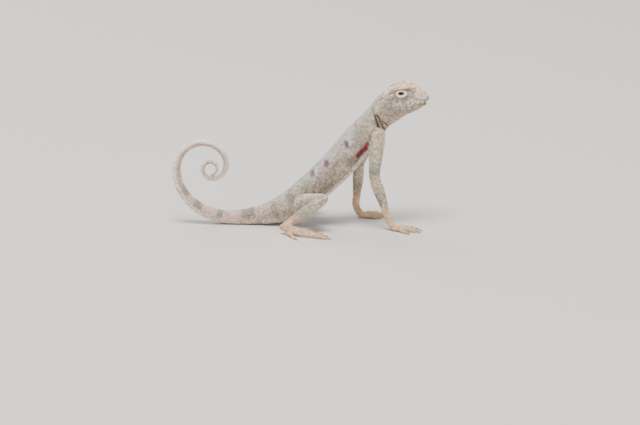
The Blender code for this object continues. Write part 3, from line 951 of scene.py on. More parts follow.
@dataclass
class Graph:
    """The shader of one material."""

    name: str

    def __post_init__(self) -> None:
        """Starts the material."""
        self.material = bpy.data.materials.new(self.name)
        self.material.use_nodes = True
        self.tree = self.material.node_tree

    def fill(self, node: bpy.types.Node, values: Values) -> None:
        """Sets inputs of a node.

        Args:
            node: The node.
            values: What each input is set or linked to.
        """
        for name, value in values.items():
            if isinstance(value, bpy.types.NodeSocket):
                self.tree.links.new(value, node.inputs[name])
            else:
                node.inputs[name].default_value = value

    def add(self, kind: str, out: str, values: Values, **options: str) -> bpy.types.NodeSocket:
        """Adds a node.

        Args:
            kind: Its type.
            out: The output that is read.
            values: What its inputs are set or linked to.
            options: Its own settings.

        Returns:
            The output.
        """
        node = self.tree.nodes.new(kind)
        for name, option in options.items():
            setattr(node, name, option)
        self.fill(node, values)
        return node.outputs[out]

    def scaled(self, value: bpy.types.NodeSocket, values: Values) -> bpy.types.NodeSocket:
        """An output brought from one range to another."""
        return self.add("ShaderNodeMapRange", "Result", {"Value": value, **values})

    def times(
        self, one: bpy.types.NodeSocket, two: bpy.types.NodeSocket, share: float = 1
    ) -> bpy.types.NodeSocket:
        """A colour multiplied by another one, by a share."""
        values = {"Factor": share, "A": one, "B": two}
        return self.add("ShaderNodeMix", "Result", values, data_type="RGBA", blend_type="MULTIPLY")

    def where(self) -> bpy.types.NodeSocket:
        """The place in the object's own frame."""
        return self.add("ShaderNodeTexCoord", "Object", {})

    def tint(self) -> bpy.types.NodeSocket:
        """The colour that is stored at each point."""
        return self.add("ShaderNodeAttribute", "Color", {}, attribute_name="tint")

    def dress(self, values: Values) -> bpy.types.Material:
        """Sets the surface, and gives the finished material."""
        self.fill(self.tree.nodes["Principled BSDF"], values)
        return self.material


@dataclass(frozen=True)
class SkinFinish:
    """The finish of the skin and of its scales: their tint, broken by fine grain."""

    name: str  # the material's name
    rough: float  # how dull it is
    grain: float  # the size of its grain, as cells in a metre
    bump: float  # how deep the grain is, in metres

    def make(self) -> bpy.types.Material:
        """Builds the material.

        Returns:
            The material.
        """
        graph = Graph(self.name)
        where = graph.where()
        blots = {"Vector": where, "Scale": self.grain * 0.4, "Detail": 4}
        mottle = graph.add("ShaderNodeTexNoise", "Fac", blots)
        shades = {"From Min": 0.3, "From Max": 0.7, "To Min": 0.88, "To Max": 1.1}
        dull = {"To Min": self.rough - 0.08, "To Max": self.rough + 0.1}
        pits = {"Vector": where, "Scale": self.grain}
        relief = {
            "Height": graph.add("ShaderNodeTexVoronoi", "Distance", pits),
            "Strength": 0.5,
            "Distance": self.bump,
        }
        return graph.dress(
            {
                "Specular IOR Level": 0.35,
                "Base Color": graph.times(graph.tint(), graph.scaled(mottle, shades)),
                "Roughness": graph.scaled(mottle, dull),
                "Normal": graph.add("ShaderNodeBump", "Normal", relief),
            }
        )


@dataclass(frozen=True)
class TrunkPatch:
    """A patch of colour on both flanks."""

    along: float  # the length from the tail's root along the trunk's middle line
    high: float  # the height over that line
    half: tuple[float, float]  # half its length and half its height
    turn: float  # how far it is turned from the line, in degrees
    colour: str  # its colour
    strength: float  # how strong it is in the middle
    ragged: float = 0.35  # how broken its edge is


PATCHES = [
    TrunkPatch(*row)
    for row in (
        (27.9, -1.4, (1.3, 0.9), 10, "776d60", 0.6, 0.8),
        (20.0, -0.4, (2.8, 1.3), 20, "7c7368", 0.38, 0.9),
        (14.5, 0.4, (1.6, 2.4), 0, "786f65", 0.42, 0.9),
        (25.2, 0.8, (2.2, 1.1), -20, "857b70", 0.42, 0.9),
        (10.2, 1.5, (1.1, 2.0), 10, "7a7268", 0.6, 0.9),
        (4.5, 1.0, (1.1, 2.0), 0, "7d756b", 0.55, 0.9),
        (35.0, 1.6, (1.8, 1.0), 0, "857c72", 0.45, 0.9),
        (31.0, 2.3, (1.7, 1.1), 20, "d8d0cc", 0.6, 0.5),
        (24.0, 2.8, (1.5, 0.9), 20, "d6c8c3", 0.55, 0.5),
        (18.6, 3.0, (1.4, 0.9), 20, "d2c6c0", 0.5, 0.5),
        (33.6, 0.4, (1.0, 0.6), 20, "a9a5a6", 0.5, 0.6),
        (30.3, 2.3, (0.85, 0.58), 40, "6d4257", 0.95, 0.35),
        (23.1, 2.8, (0.85, 0.55), 40, "77485d", 0.9, 0.35),
        (18.4, 3.2, (0.8, 0.5), 20, "76566a", 0.8, 0.4),
        (31.4, -1.85, (2.1, 0.74), -4, "6e132d", 0.95, 0.5),
        (33.2, -1.6, (1.2, 0.45), 14, "9c2438", 0.85, 0.5),
        (29.6, -2.1, (1.5, 0.42), 6, "7e2f45", 0.8, 0.5),
    )
]
TAIL_BANDS = ((2.8, 1.8), (10.3, 0.8), (16.6, 1.2), (21.9, 1.8), (27.0, 1.2), (33.0, 1.2))


@dataclass
class Markings:
    """The colours of the animal, with painted shade and a painted highlight in its creases, laid
    one over the other in linear light.
    """

    at: Places  # the places that are coloured

    def __post_init__(self) -> None:
        """Lays all the colours, broken by noise as fine as a scale or as rough as a few."""
        at = self.at
        self.fine = cloud(at.points, 0.55, 31.0)
        self.rough = cloud(at.points, 1.2) * 0.6 + self.fine * 0.4
        self.tone = np.tile(srgb("c2b29f"), (len(at.points), 1))
        wide = cloud(at.points, 4.5, 7.0)
        self.lay("a69b8d", ramp(0.0, 0.9, wide) * 0.6)
        self.lay("7d7367", ramp(0.1, 0.7, self.rough) * 0.5)
        self.lay("ddd1be", ramp(-0.15, -0.65, self.rough) * 0.5)
        self.trunk()
        self.limbs()
        self.tail()
        self.head()
        # The creases' colours: painted shade in the dark folds and a painted highlight on the
        # belly's pale ridge
        for crease in CREASES:
            self.lay(crease.shade, crease.weight(at) * crease.strength)
        lumps = 1 + 0.2 * cloud(at.points, 0.75, 71.0) + 0.1 * cloud(at.points, 1.9, 83.0)
        self.tone = self.tone * lumps[:, None]
        self.lips()
        self.lids()

    def lay(self, colour: str, weight: np.ndarray) -> None:
        """Blends one colour in, as far as the weight from 0 to 1 says at each place."""
        share = weight[:, None]
        self.tone = self.tone * (1 - share) + srgb(colour) * share

    def trunk(self) -> None:
        """Colours the trunk: grey along the back, pale below, with patches on the flanks."""
        at, rough = self.at, self.rough
        on = at.zones == Zone.TRUNK.value
        self.lay("c2bdb6", on * ramp(1.4, 3.4, at.high) * 0.6)
        self.lay("dad2c2", on * ramp(-2.6, -3.9, at.high + rough * 0.4) * 0.9)
        self.lay("efe8dc", on * ramp(-3.5, -4.3, at.high) * 0.8)
        rear = on * ramp(9.0, 1.0, at.along)
        self.lay("d0b9aa", rear * 0.6)
        self.lay("eee1d8", rear * ramp(-0.1, -0.7, at.normals[:, 2]) * 0.85)
        aside = ramp(0.6, 1.6, at.aside)
        for p in PATCHES:
            u, v = turned(at.along - p.along, at.high - p.high, math.radians(p.turn))
            edge = np.hypot(u / p.half[0], v / p.half[1]) + rough * p.ragged
            self.lay(p.colour, on * ramp(1.35, 0.65, edge) * p.strength * aside)

    def limbs(self) -> None:
        """Colours the arms, legs, hands and feet."""
        at, rough = self.at, self.rough
        z = at.points[:, 2]
        arm, fore = at.on("upper_arm", "forearm"), at.on("forearm")
        thigh, shank = at.on("thigh"), at.on("shank")
        self.lay("d8c8ae", arm * 0.75)
        self.lay("87837f", arm * bell(z - 15.2 + rough * 0.6, 1.3) * 0.8)
        self.lay("867e75", arm * ramp(0.1, 0.55, rough) * 0.35)
        self.lay("8f8780", fore * bell(z - 8.2 + rough * 1.2, 1.7) * 0.7)
        self.lay("e2d3bd", thigh * 0.7)
        self.lay("867e75", thigh * ramp(0.1, 0.5, rough) * 0.45)
        self.lay("c5b8a5", shank * 0.6)
        self.lay("857c71", shank * ramp(0.1, 0.55, rough) * 0.42)
        under = ramp(0.1, 0.8, -at.normals[:, 2])
        self.lay("ddd3c3", (arm | thigh | shank) * under * 0.55)
        hand, foot = at.on("hand"), at.on("foot", "toe")
        low = z + rough * 0.5
        warm = np.maximum(hand, fore * ramp(8.5, 4.2, low))
        warm = warm + np.maximum(foot, shank * ramp(5.5, 2.6, low))
        self.lay("ebc39b", warm * 0.82)
        self.lay("a98f74", (hand | foot) * ramp(0.25, 0.7, rough) * 0.45)
        self.lay("f1dcc0", (hand | foot) * under * 0.5)

    def tail(self) -> None:
        """Colours the tail: pale below, with grey bands across its back."""
        at, line = self.at, self.at.body.tail
        on = np.nonzero(at.zones == Zone.TAIL.value)[0]
        near = line.nearest(at.points[on])
        along, turn = line.lengths[near], line.headings[near]
        back = at.normals[on, 0] * np.sin(turn) - at.normals[on, 2] * np.cos(turn)
        band = np.zeros(len(on))
        for middle, half in TAIL_BANDS:
            band = np.maximum(band, ramp(1.25, 0.75, np.abs(along - middle) / half))
        spread = ramp(-0.35, 0.25, back + self.rough[on] * 0.2)
        for colour, weight in (
            ("d8bcac", ramp(-6, 6, along) * 0.8),
            ("f4ece8", ramp(0.25, -0.5, back) * ramp(-6, 22, along) * 0.92),
            ("7d7872", band * spread * ramp(36, 18, along) * 0.72),
        ):
            whole = np.zeros(len(at.points))
            whole[on] = weight
            self.lay(colour, whole)

    def head(self) -> None:
        """Colours the head: grey cheeks, a pale crown with yellow and grey flecks."""
        at, fine = self.at, self.fine
        along, side, up = at.head.T
        on = at.face
        crown = on * ramp(0.25, 0.7, at.normals[:, 2]) * ramp(-0.2, 0.9, up)
        snout = on * ramp(2.6, 4.6, along) * ramp(-3.4, -2.0, up)
        self.lay("ab9f8f", on * 0.5)
        self.lay("8f8578", on * ramp(0.1, 0.7, fine) * 0.5)
        cheek = on * (1 - np.maximum(crown, snout)) * ramp(-3.6, -2.6, up)
        blots = cloud(at.points, 1.1, 64.0)
        self.lay("e4d2bd", cheek * ramp(0.1, 0.5, blots) * 0.42)
        self.lay("80756a", cheek * ramp(-0.1, -0.5, blots) * 0.42)
        self.lay("fff0de", np.maximum(crown, snout * 0.95) * 0.92)
        self.lay("ffdcc2", snout * 0.5)
        flecks, spots = cloud(at.points, 0.8, 12.0), cloud(at.points, 0.7, 50.0)
        fleck = crown * (0.3 + 0.7 * ramp(4.4, 2.2, along)) * 0.8
        self.lay("eab35a", fleck * ramp(0.08, 0.4, flecks))
        self.lay("dd9a88", fleck * ramp(-0.15, -0.5, flecks))
        self.lay("6f6865", fleck * ramp(0.2, 0.55, spots))
        self.lay("9a8f84", snout * (1 - crown) * ramp(0.3, 0.8, fine) * 0.45)
        brow = on * bell(up - 1.5, 0.5) * (side > 2.2) * ramp(-4.0, -2.4, along)
        self.lay("f0d3a8", brow * ramp(3.2, 1.8, along) * 0.6)

    def lips(self) -> None:
        """Colours the lips and the chin."""
        at, on = self.at, self.at.face
        along, _, up = at.head.T
        line = np.array(MOUTH)[::-1]
        over = up - np.interp(along, line[:, 0], line[:, 1])
        reach = 0.9 + 0.14 * np.clip(along, -2, 5)
        lips = on * ramp(-0.9, -0.2, over) * ramp(reach + 0.9, reach, over)
        lips = lips * ramp(-3.0, -1.8, along)
        speck = cloud(at.points, 0.36, 9.0)
        self.lay("fff1e2", lips * ramp(0.15, -0.3, speck) * 0.8)
        self.lay("6f675e", lips * ramp(0.2, 0.6, speck) * 0.5)
        self.lay("cbb59a", on * ramp(-4.0, -5.2, up) * 0.75)
        self.lay("cfae62", on * bell(along - 3.6, 0.9) * bell(up + 4.3, 0.5) * 0.65)

    def lids(self) -> None:
        """Colours the lids, and paints shade in the fold below them, in the nostrils and along the
        line of the mouth.
        """
        at, on, body = self.at, self.at.face, self.at.body
        a, b = body.slit_place(at.points)
        beside = (at.aside > body.eye_out - 0.4) * on
        lid = body.lid_reach(at.points)
        # Painted shade: a dark ring in the fold just below the lids
        self.lay("6f6250", bell(lid - 1.17, 0.15) * ramp(0.3, -0.2, b) * beside * 0.7)
        pale = ramp(1.0, 0.88, lid) * beside
        self.lay("e6c7a2", pale * ramp(0.9, 0.76, b) * 0.9)
        over = b - 0.5 + 0.3 * (a / LID_HALF[0]) ** 2
        self.lay("f8ece0", pale * ramp(0.2, 0.1, over) * 0.4)
        self.lay("fffdf8", pale * ramp(0.08, -0.06, over) * 0.97)
        # Painted shade: each nostril is painted dark, since the skin has no opening there
        for side in SIDES.values():
            start, way = body.hole(side)
            gap = np.linalg.norm(np.cross(at.points - start, way), axis=1)
            gap = np.where((at.points - start) @ way > -0.3, gap, 9.0)
            self.lay("40352c", ramp(0.36, 0.24, gap) * on * 0.9)
        # Painted shade along the groove of the mouth
        self.lay("63574a", at.mouth * on * 0.6)


@dataclass
class Row:
    """Places in line on the skin, from which scales are picked at even gaps."""

    stops: list[tuple[np.ndarray, np.ndarray]] = field(default_factory=list)

    def add(self, place: np.ndarray | None, lie: np.ndarray = NO_LIE) -> None:
        """Adds a place and the way that a scale points there, unless the ray met nothing."""
        if place is not None:
            self.stops.append((place, lie))

    def spaced(self, gap: float, shift: float = 0.0) -> list[tuple[np.ndarray, np.ndarray]]:
        """The places at even gaps.

        Args:
            gap: About how far apart they lie.
            shift: How far the first lies from the start, as a share of the gap.

        Returns:
            Each place, with the way that a scale points there.
        """
        if len(self.stops) < 3:
            return []
        places = np.array([place for place, _ in self.stops])
        steps = np.linalg.norm(np.diff(places, axis=0), axis=1)
        total = float(steps.sum())
        count = max(2, round(total / gap))
        run = np.concatenate(([0], np.cumsum(steps)))
        marks = (np.arange(count) + shift) * total / count
        picked = np.minimum(np.searchsorted(run, marks), len(run) - 1)
        return [self.stops[k] for k in picked.tolist()]


@dataclass
class Rows:
    """The scales that stand in rows: on lids, lips, nostrils, tail, toes and fingers."""

    skin: Skin  # what they stand on
    comb: tuple[float, float] = (0.19, 0.05)  # the length and half the width of a lid's spine
    fringe: tuple[float, float] = (0.3, 0.085)  # the same of a spine at a toe's side
    fringed: float = 0.86  # how far back a toe's fringe goes, as a share of its length
    widest: float = 0.62  # half the width at which a digit's rings end
    lip_gap: float = 0.43  # from scale to scale in the rows next to the mouth

    def __post_init__(self) -> None:
        """Places all rows, as the place, the lie and the pitch of each scale."""
        self.body = self.skin.body
        self.roots: list[tuple[np.ndarray, np.ndarray, float]] = []
        self.spines = Spines()
        self.lids()
        self.nostrils()
        self.lips()
        self.folds()
        self.digits()
        self.tail()

    def hit(self, start: np.ndarray, way: np.ndarray, reach: float) -> np.ndarray | None:
        """The first place where a ray meets the skin, or nothing."""
        place = self.skin.tree.ray_cast(Vector(start), Vector(way), reach)[0]
        return None if place is None else np.array(place)

    def take(self, row: Row, gap: float, pitch: float, shift: float = 0.0) -> None:
        """Roots scales along a row."""
        self.roots += [(place, lie, pitch) for place, lie in row.spaced(gap, shift)]

    def lids(self) -> None:
        """Rings round each eye's slit, and the comb of small spines on its edge."""
        for side in SIDES.values():
            for n, (out, gap) in enumerate((LID_COMB, *LID_RINGS)):
                row = Row()
                for turn in np.linspace(0, 2 * math.pi, 241).tolist():
                    a, b = math.cos(turn), math.sin(turn)
                    away = unit(np.array((a / SLIT_HALF[0], b / SLIT_HALF[1])))
                    a = a * SLIT_HALF[0] + away[0] * out
                    b = b * SLIT_HALF[1] + away[1] * out
                    x, z = turned(a, b, -SLIT_PITCH)
                    start = self.body.eye + (x, side * 8, z + SLIT_RISE)
                    x, z = turned(away[0], away[1], -SLIT_PITCH)
                    row.add(self.hit(start, np.array((0, -side, 0)), 8), np.array((-x, 0, -z)))
                if n:
                    self.take(row, gap, gap * 1.05, n / 2 % 1)
                    continue
                for place, lie in row.spaced(gap):
                    way = unit(lie + (0, side * 0.3, 0))
                    root = place + (0, side * 0.03, 0)
                    self.spines.rows.append((root, way, (0, side, 0), self.comb))

    def nostrils(self) -> None:
        """Two rings round each nostril."""
        for side in SIDES.values():
            start, way = self.body.hole(side)
            one = unit(np.cross(way, (0, 0, 1)))
            two = np.cross(way, one)
            for radius, gap in NOSTRIL_RINGS:
                row = Row()
                for turn in np.linspace(0, 2 * math.pi, 121).tolist():
                    off = one * math.cos(turn) + two * math.sin(turn)
                    place = self.hit(start + way * 3 + off * radius, -way, 3.2)
                    row.add(place, two * math.cos(turn) - one * math.sin(turn))
                self.take(row, gap, gap)

    def lips(self) -> None:
        """Rows of larger scales along the mouth, on both lips."""
        line = np.array(MOUTH)[::-1]
        for n, rise in enumerate(LIP_ROWS):
            row = Row()
            for turn in np.radians(np.linspace(-138, 138, 553)).tolist():
                along, place = 5.0, None
                for _ in range(3):
                    up = float(np.interp(along, line[:, 0], line[:, 1])) + rise
                    way = self.body.head_way((math.cos(turn), math.sin(turn), 0))
                    start = self.body.eye + self.body.head_way((1.5, 0, up)) + way * 12
                    place = self.hit(start, -way, 12)
                    if place is None:
                        break
                    along = float(self.body.head_place(place[None])[0, 0])
                if along > -3.4:
                    row.add(place)
            self.take(row, self.lip_gap - 0.04 * (abs(rise) > 0.5), 0.42, n / 2 % 1)

    def folds(self) -> None:
        """Rows of small scales along the folds of the neck."""
        for crease in CREASES:
            line = np.array(crease.line)
            run = np.cumsum(np.linalg.norm(np.diff(line, axis=0, prepend=line[:1]), axis=1))
            for side in SIDES.values() if crease.gap else ():
                row = Row()
                for at in np.linspace(0, run[-1], 81).tolist():
                    x, z = (float(np.interp(at, run, line[:, n])) for n in range(2))
                    row.add(self.hit(np.array((x, side * 12, z)), np.array((0, -side, 0)), 12))
                self.take(row, crease.gap, crease.gap)

    def digits(self) -> None:
        """Rings round every toe and finger, and the fringes of the longest toes."""
        for side in SIDES:
            for digit, sizes in (("finger", FINGER_SIZES), ("toe", TOE_SIZES)):
                for number, size in enumerate(sizes, 1):
                    self.digit(f"claw_{digit}_{number}_{side}", size, digit == "toe")

    def centred(self, middle: np.ndarray, way: np.ndarray) -> tuple[np.ndarray, float]:
        """The middle of a digit, found from a place inside it.

        Args:
            middle: The place.
            way: The direction of the digit there.

        Returns:
            The middle, and half the digit's width, which is 9 where it has none.
        """
        half = 9.0
        for axis in (unit(np.cross(way, (0, 0, 1))), np.array((0, 0, 1.0))):
            ends = [self.hit(middle, axis * sign, 1.2) for sign in (1, -1)]
            if ends[0] is None or ends[1] is None:
                return middle, 9.0
            middle = (ends[0] + ends[1]) / 2
            half = min(half, float(np.linalg.norm(ends[0] - ends[1])) / 2)
        return middle, half

    def digit(self, claw: str, size: float, fringed: bool) -> None:
        """Rings round one digit, from its claw back to its root.

        Args:
            claw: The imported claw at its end.
            size: How long the digit is.
            fringed: Whether small spines stand along its sides.
        """
        points, _ = node_mesh(claw)
        way = unit(claw_way(claw) * (1, 1, 0))
        along = points @ way
        base = points[along < along.min() + 0.05].mean(0)
        middle, done, n = base - way * 0.35, 0.35, 0
        while done < size:
            middle, half = self.centred(middle, way)
            if half > self.widest:
                break
            beside = unit(np.cross(way, (0, 0, 1)))
            over = np.cross(beside, way)
            row = Row()
            for turn in np.linspace(0, 2 * math.pi, 49).tolist():
                ray = over * math.cos(turn) + beside * math.sin(turn)
                row.add(self.hit(middle, ray, 1.0), way)
            self.take(row, DIGIT_GAP, DIGIT_GAP, n / 2 % 1)
            if fringed and done < size * self.fringed:
                for sign in (-1, 1):
                    edge = self.hit(middle - over * 0.08, beside * sign, 1.0)
                    if edge is not None and edge[2] > 0.05:
                        out = unit(beside * sign + way * 0.9)
                        self.spines.rows.append((edge - out * 0.08, out, over, self.fringe))
            before = middle
            middle = middle - way * DIGIT_GAP
            again, half = self.centred(middle, way)
            if half < 9:
                way = unit(unit(before - again) + way)
            done += DIGIT_GAP
            n += 1

    def tail(self) -> None:
        """Rings round the tail, each turned half a scale from the last."""
        line = self.body.tail
        at, n = 2.0, 0
        while at < line.lengths[-1] - 0.2:
            k = int(at / line.step)
            middle, heading, half = line.points[k], line.headings[k], line.halves[k]
            back = np.array((math.sin(heading), 0, -math.cos(heading)))
            count = max(9, round(2 * math.pi * half * 1.05 / TAIL_GAP))
            for step in range(count):
                angle = 2 * math.pi * (step + n % 2 / 2) / count
                way = back * math.cos(angle) + np.array((0, math.sin(angle), 0))
                place = self.hit(middle, way, half * 1.5)
                if place is not None:
                    self.roots.append((place, NO_LIE, TAIL_GAP * 1.06))
            at += 0.28 + 0.13 * half
            n += 1


@dataclass
class Placer:
    """Spreads the roots of the scales over the skin."""

    skin: Skin  # what they stand on
    rows: Rows  # the scales that stand in rows
    over: float = 5.5  # how many places are drawn for each scale that fits
    least: float = 0.7  # the least gap between drawn places, in pitches
    rounds: int = 6  # how often the places push each other apart
    push: float = 0.17  # how far they move each time, as a share of their gaps

    def __post_init__(self) -> None:
        """Works out the pitch of the scales all over the skin."""
        self.random = np.random.default_rng(SEED)
        skin, body, points = self.skin, self.skin.body, self.skin.grid.points
        pitches = np.array([FORMS[m.zone].pitch for m in body.members])[skin.owners]
        head = body.zones[skin.owners] == Zone.HEAD.value
        crown = ramp(0.3, 0.8, skin.normals[:, 2]) * ramp(-0.5, 0.8, body.head_place(points)[:, 2])
        pitches = pitches + 0.10 * crown * head
        pitches = pitches - 0.07 * bell(body.slit_reach(points) - 1, 2.2) * head
        pitches = pitches + 0.05 * ramp(0.2, 0.9, -skin.normals[:, 2]) * (pitches > 0.29)
        self.pitch = skin.grid.spread(pitches[:, None], 8)[:, 0]

    def candidates(self) -> tuple[np.ndarray, np.ndarray]:
        """Random places on the skin, closer where the scales are smaller.

        Returns:
            The places, and the pitch at each.
        """
        grid = self.skin.grid
        a, b, c = (grid.points[grid.tris[:, k]] for k in range(3))
        area = np.linalg.norm(np.cross(b - a, c - a), axis=1) / 2
        pitch = self.pitch[grid.tris].mean(1)
        share = area / pitch**2
        count = int(share.sum() * self.over)
        pick = self.random.choice(len(share), count, p=share / share.sum())
        u, v = self.random.random((2, count, 1))
        flip = u + v > 1
        u, v = np.where(flip, 1 - u, u), np.where(flip, 1 - v, v)
        return a[pick] * (1 - u - v) + b[pick] * u + c[pick] * v, pitch[pick]

    @staticmethod
    def thinned(points: np.ndarray, least: np.ndarray, taken: int) -> np.ndarray:
        """Drops places that lie too near one that is already kept.

        Args:
            points: Places, of which the first ones are kept whatever lies near.
            least: The least distance at each.
            taken: How many of the first are kept.

        Returns:
            Whether each place is kept.
        """
        cell = float(least.max())
        keys = np.floor(points / cell).astype(int).tolist()
        rows = points.tolist()
        square = (least**2).tolist()
        shelves: dict[tuple[int, int, int], list[tuple[float, float, float]]] = {}
        keep = np.zeros(len(points), bool)
        near = [(i, j, k) for i in (-1, 0, 1) for j in (-1, 0, 1) for k in (-1, 0, 1)]
        for n, (x, y, z) in enumerate(rows):
            i, j, k = keys[n]
            limit = square[n] if n >= taken else -1.0
            free = all(
                (x - p) ** 2 + (y - q) ** 2 + (z - r) ** 2 >= limit
                for di, dj, dk in near
                for p, q, r in shelves.get((i + di, j + dj, k + dk), ())
            )
            if free:
                keep[n] = True
                shelves.setdefault((i, j, k), []).append((x, y, z))
        return keep

    def bare(self, points: np.ndarray) -> np.ndarray:
        """Whether places lie where no scale is strewn.

        Args:
            points: Places on the skin.

        Returns:
            True or false for each.
        """
        body = self.skin.body
        far = np.full(len(points), 9.0)
        for side in SIDES.values():
            start, way = body.hole(side)
            off = points - start
            t = np.clip(off @ way, -0.6, 1.6)
            far = np.minimum(far, np.linalg.norm(off - t[:, None] * way, axis=1))
        return (body.slit_reach(points) < 1.12) | (far < 0.36)

    def roots(self) -> dict[str, np.ndarray]:
        """The roots of all the scales.

        Returns:
            Arrays by name: place, normal, lie, pitch, mouth and owner, a row for each root.
        """
        rows, own, row_pitch = (np.array(column) for column in zip(*self.rows.roots))
        fixed = len(rows)
        points, pitch = self.candidates()
        free = ~self.bare(points)
        points = np.concatenate((rows, points[free]))
        pitch = np.concatenate((row_pitch, pitch[free]))
        share = np.where(np.arange(len(pitch)) < fixed, 1, self.least)
        keep = self.thinned(points, pitch * share, fixed)
        points, pitch = points[keep], pitch[keep]
        LOG.info("%d roots, %d of them in rows", len(points), fixed)
        tree = self.skin.tree
        for _ in range(self.rounds):
            near, gaps = neighbours(points, 8)
            away = points[:, None] - points[near]
            push = np.clip(1.2 * pitch[:, None] / np.maximum(gaps, 0.02) - 1, 0, 1)
            push[:, 0] = 0
            move = (away * push[..., None]).sum(1) * self.push
            move[:fixed] = 0
            points = points + move
            points[fixed:] = [tree.find_nearest(p)[0] for p in points[fixed:].tolist()]
        keep = ~self.bare(points)
        keep[:fixed] = True
        found = self.read(points[keep])
        own = own - found["normal"][:fixed] * (own * found["normal"][:fixed]).sum(1)[:, None]
        set_own = np.linalg.norm(own, axis=1) > 0.1
        found["lie"][:fixed][set_own] = unit(own[set_own])
        return found

    def at(self, found: dict[str, np.ndarray]) -> Places:
        """Roots as places whose colours can be read."""
        keys = ("place", "normal", "owner", "mouth")
        return Places(self.skin.body, *(found[key] for key in keys))

    def read(self, points: np.ndarray) -> dict[str, np.ndarray]:
        """What the skin says at each root.

        Args:
            points: Places on the skin.

        Returns:
            Arrays by name, a row for each root.
        """
        skin = self.skin
        tris = np.array([skin.tree.find_nearest(p)[2] for p in points.tolist()])
        corners = skin.grid.tris[tris]
        far = np.linalg.norm(skin.grid.points[corners] - points[:, None], axis=2)
        weight = 1 / (far + 0.01)
        weight = (weight / weight.sum(1, keepdims=True))[..., None]
        normal = unit((skin.normals[corners] * weight).sum(1))
        lie = (skin.lies[corners] * weight).sum(1)
        lie = unit(lie - normal * (lie * normal).sum(1, keepdims=True))
        return {
            "place": points,
            "normal": normal,
            "lie": lie,
            "pitch": (self.pitch[corners] * weight[..., 0]).sum(1),
            "mouth": (skin.mouth[corners] * weight[..., 0]).sum(1),
            "owner": skin.owners[corners[:, 0]],
        }


def neighbours(points: np.ndarray, count: int) -> tuple[np.ndarray, np.ndarray]:
    """The nearest places to each place.

    Args:
        points: Places.
        count: How many to find, the place itself among them.

    Returns:
        Their numbers and their distances, a row for each place.
    """
    tree = KDTree(len(points))
    for k, p in enumerate(points.tolist()):
        tree.insert(p, k)
    tree.balance()
    found = [tree.find_n(p, count) for p in points.tolist()]
    near = np.array([[f[1] for f in row] for row in found])
    gaps = np.array([[f[2] for f in row] for row in found])
    return near, gaps


@dataclass
class Unwrap:
    """A flat unwrap of the skin: one chart each for trunk, tail, limb lengths, hands and feet."""

    body: Body  # what the solids say

    def __post_init__(self) -> None:
        """Lengthens the trunk's line by the head."""
        self.trunk = TrunkLine(TRUNK_LINE + UNWRAP_HEAD)

    def read(self, at: Places) -> np.ndarray:
        """Where places lie on the unwrap.

        Args:
            at: The places.

        Returns:
            Rows of u and v, within the unit square.
        """
        points = at.points
        along, high = self.trunk.read(points, 4.0)
        angle = np.arctan2(points[:, 1], high) + math.pi
        out = np.stack((0.01 + along * UNWRAP_SCALE, 0.01 + angle * 4.3 * UNWRAP_SCALE), 1)
        tail = at.zones == Zone.TAIL.value
        line = self.body.tail
        near = line.nearest(points[tail])
        turn = line.headings[near]
        off = points[tail] - line.points[near]
        back = off[:, 0] * np.sin(turn) - off[:, 2] * np.cos(turn)
        angle = np.arctan2(off[:, 1], back) + math.pi
        out[tail, 0] = 0.01 + line.lengths[near] * UNWRAP_SCALE
        out[tail, 1] = 0.39 + angle * 1.6 * UNWRAP_SCALE
        cell = 0
        for side in SIDES:
            for name in ("upper_arm", "forearm", "thigh", "shank"):
                on = at.on(f"{name}_{side}")
                out[on] = self.tube(f"{name}_{side}", points[on]) + self.corner(cell)
                cell += 1
            toes = (f"toe_{number}_{side}" for number in range(1, 6))
            for names in ((f"hand_{side}",), (f"foot_{side}", *toes)):
                on = at.on(*names)
                middle = self.body.middles[names[0]] if len(names) == 1 else self.foot(side)
                flat = (points[:, :2] - middle[:2]) * UNWRAP_SCALE + (0.095, 0.07)
                for part in (on & (at.normals[:, 2] >= 0), on & (at.normals[:, 2] < 0)):
                    out[part] = np.clip(flat[part], 0.004, (0.186, 0.136)) + self.corner(cell)
                    cell += 1
        return np.clip(out, 0.003, 0.997)

    def foot(self, side: str) -> np.ndarray:
        """The middle of a foot with its toes."""
        return (self.body.middles[f"foot_{side}"] + self.body.middles[f"toe_4_{side}"]) / 2

    def tube(self, name: str, points: np.ndarray) -> np.ndarray:
        """A length of limb rolled out flat.

        Args:
            name: The node.
            points: Places on it.

        Returns:
            Rows of u and v within its cell.
        """
        number = [m.name for m in self.body.members].index(name)
        axis = self.body.lies[number]
        off = points - self.body.middles[name]
        one = unit(np.cross(axis, (0, 1, 0.3)))
        two = np.cross(axis, one)
        angle = np.arctan2(off @ two, off @ one) + math.pi
        u = 0.095 + (off @ axis) * UNWRAP_SCALE
        v = 0.004 + angle * 1.68 * UNWRAP_SCALE
        return np.stack((np.clip(u, 0.004, 0.186), np.clip(v, 0.004, 0.136)), 1)

    @staticmethod
    def corner(cell: int) -> np.ndarray:
        """The lower left corner of a cell for a limb, a hand or a foot."""
        place = (0.01 + 0.195 * (cell % 5), 0.545 + 0.145 * (cell // 5))
        return np.array(place if cell < 15 else (0.79, 0.01))


def stepped(places: np.ndarray, ways: list[np.ndarray], steps: tuple) -> np.ndarray:
    """Points reached from places by steps along directions of their own.

    Args:
        places: The places.
        ways: The directions, each with a row for every place.
        steps: How far to go along each, with a row of lengths for every place.

    Returns:
        A row of points for every place.
    """
    points = places[:, None]
    for way, step in zip(ways, steps):
        points = points + step[..., None] * way[:, None]
    return points


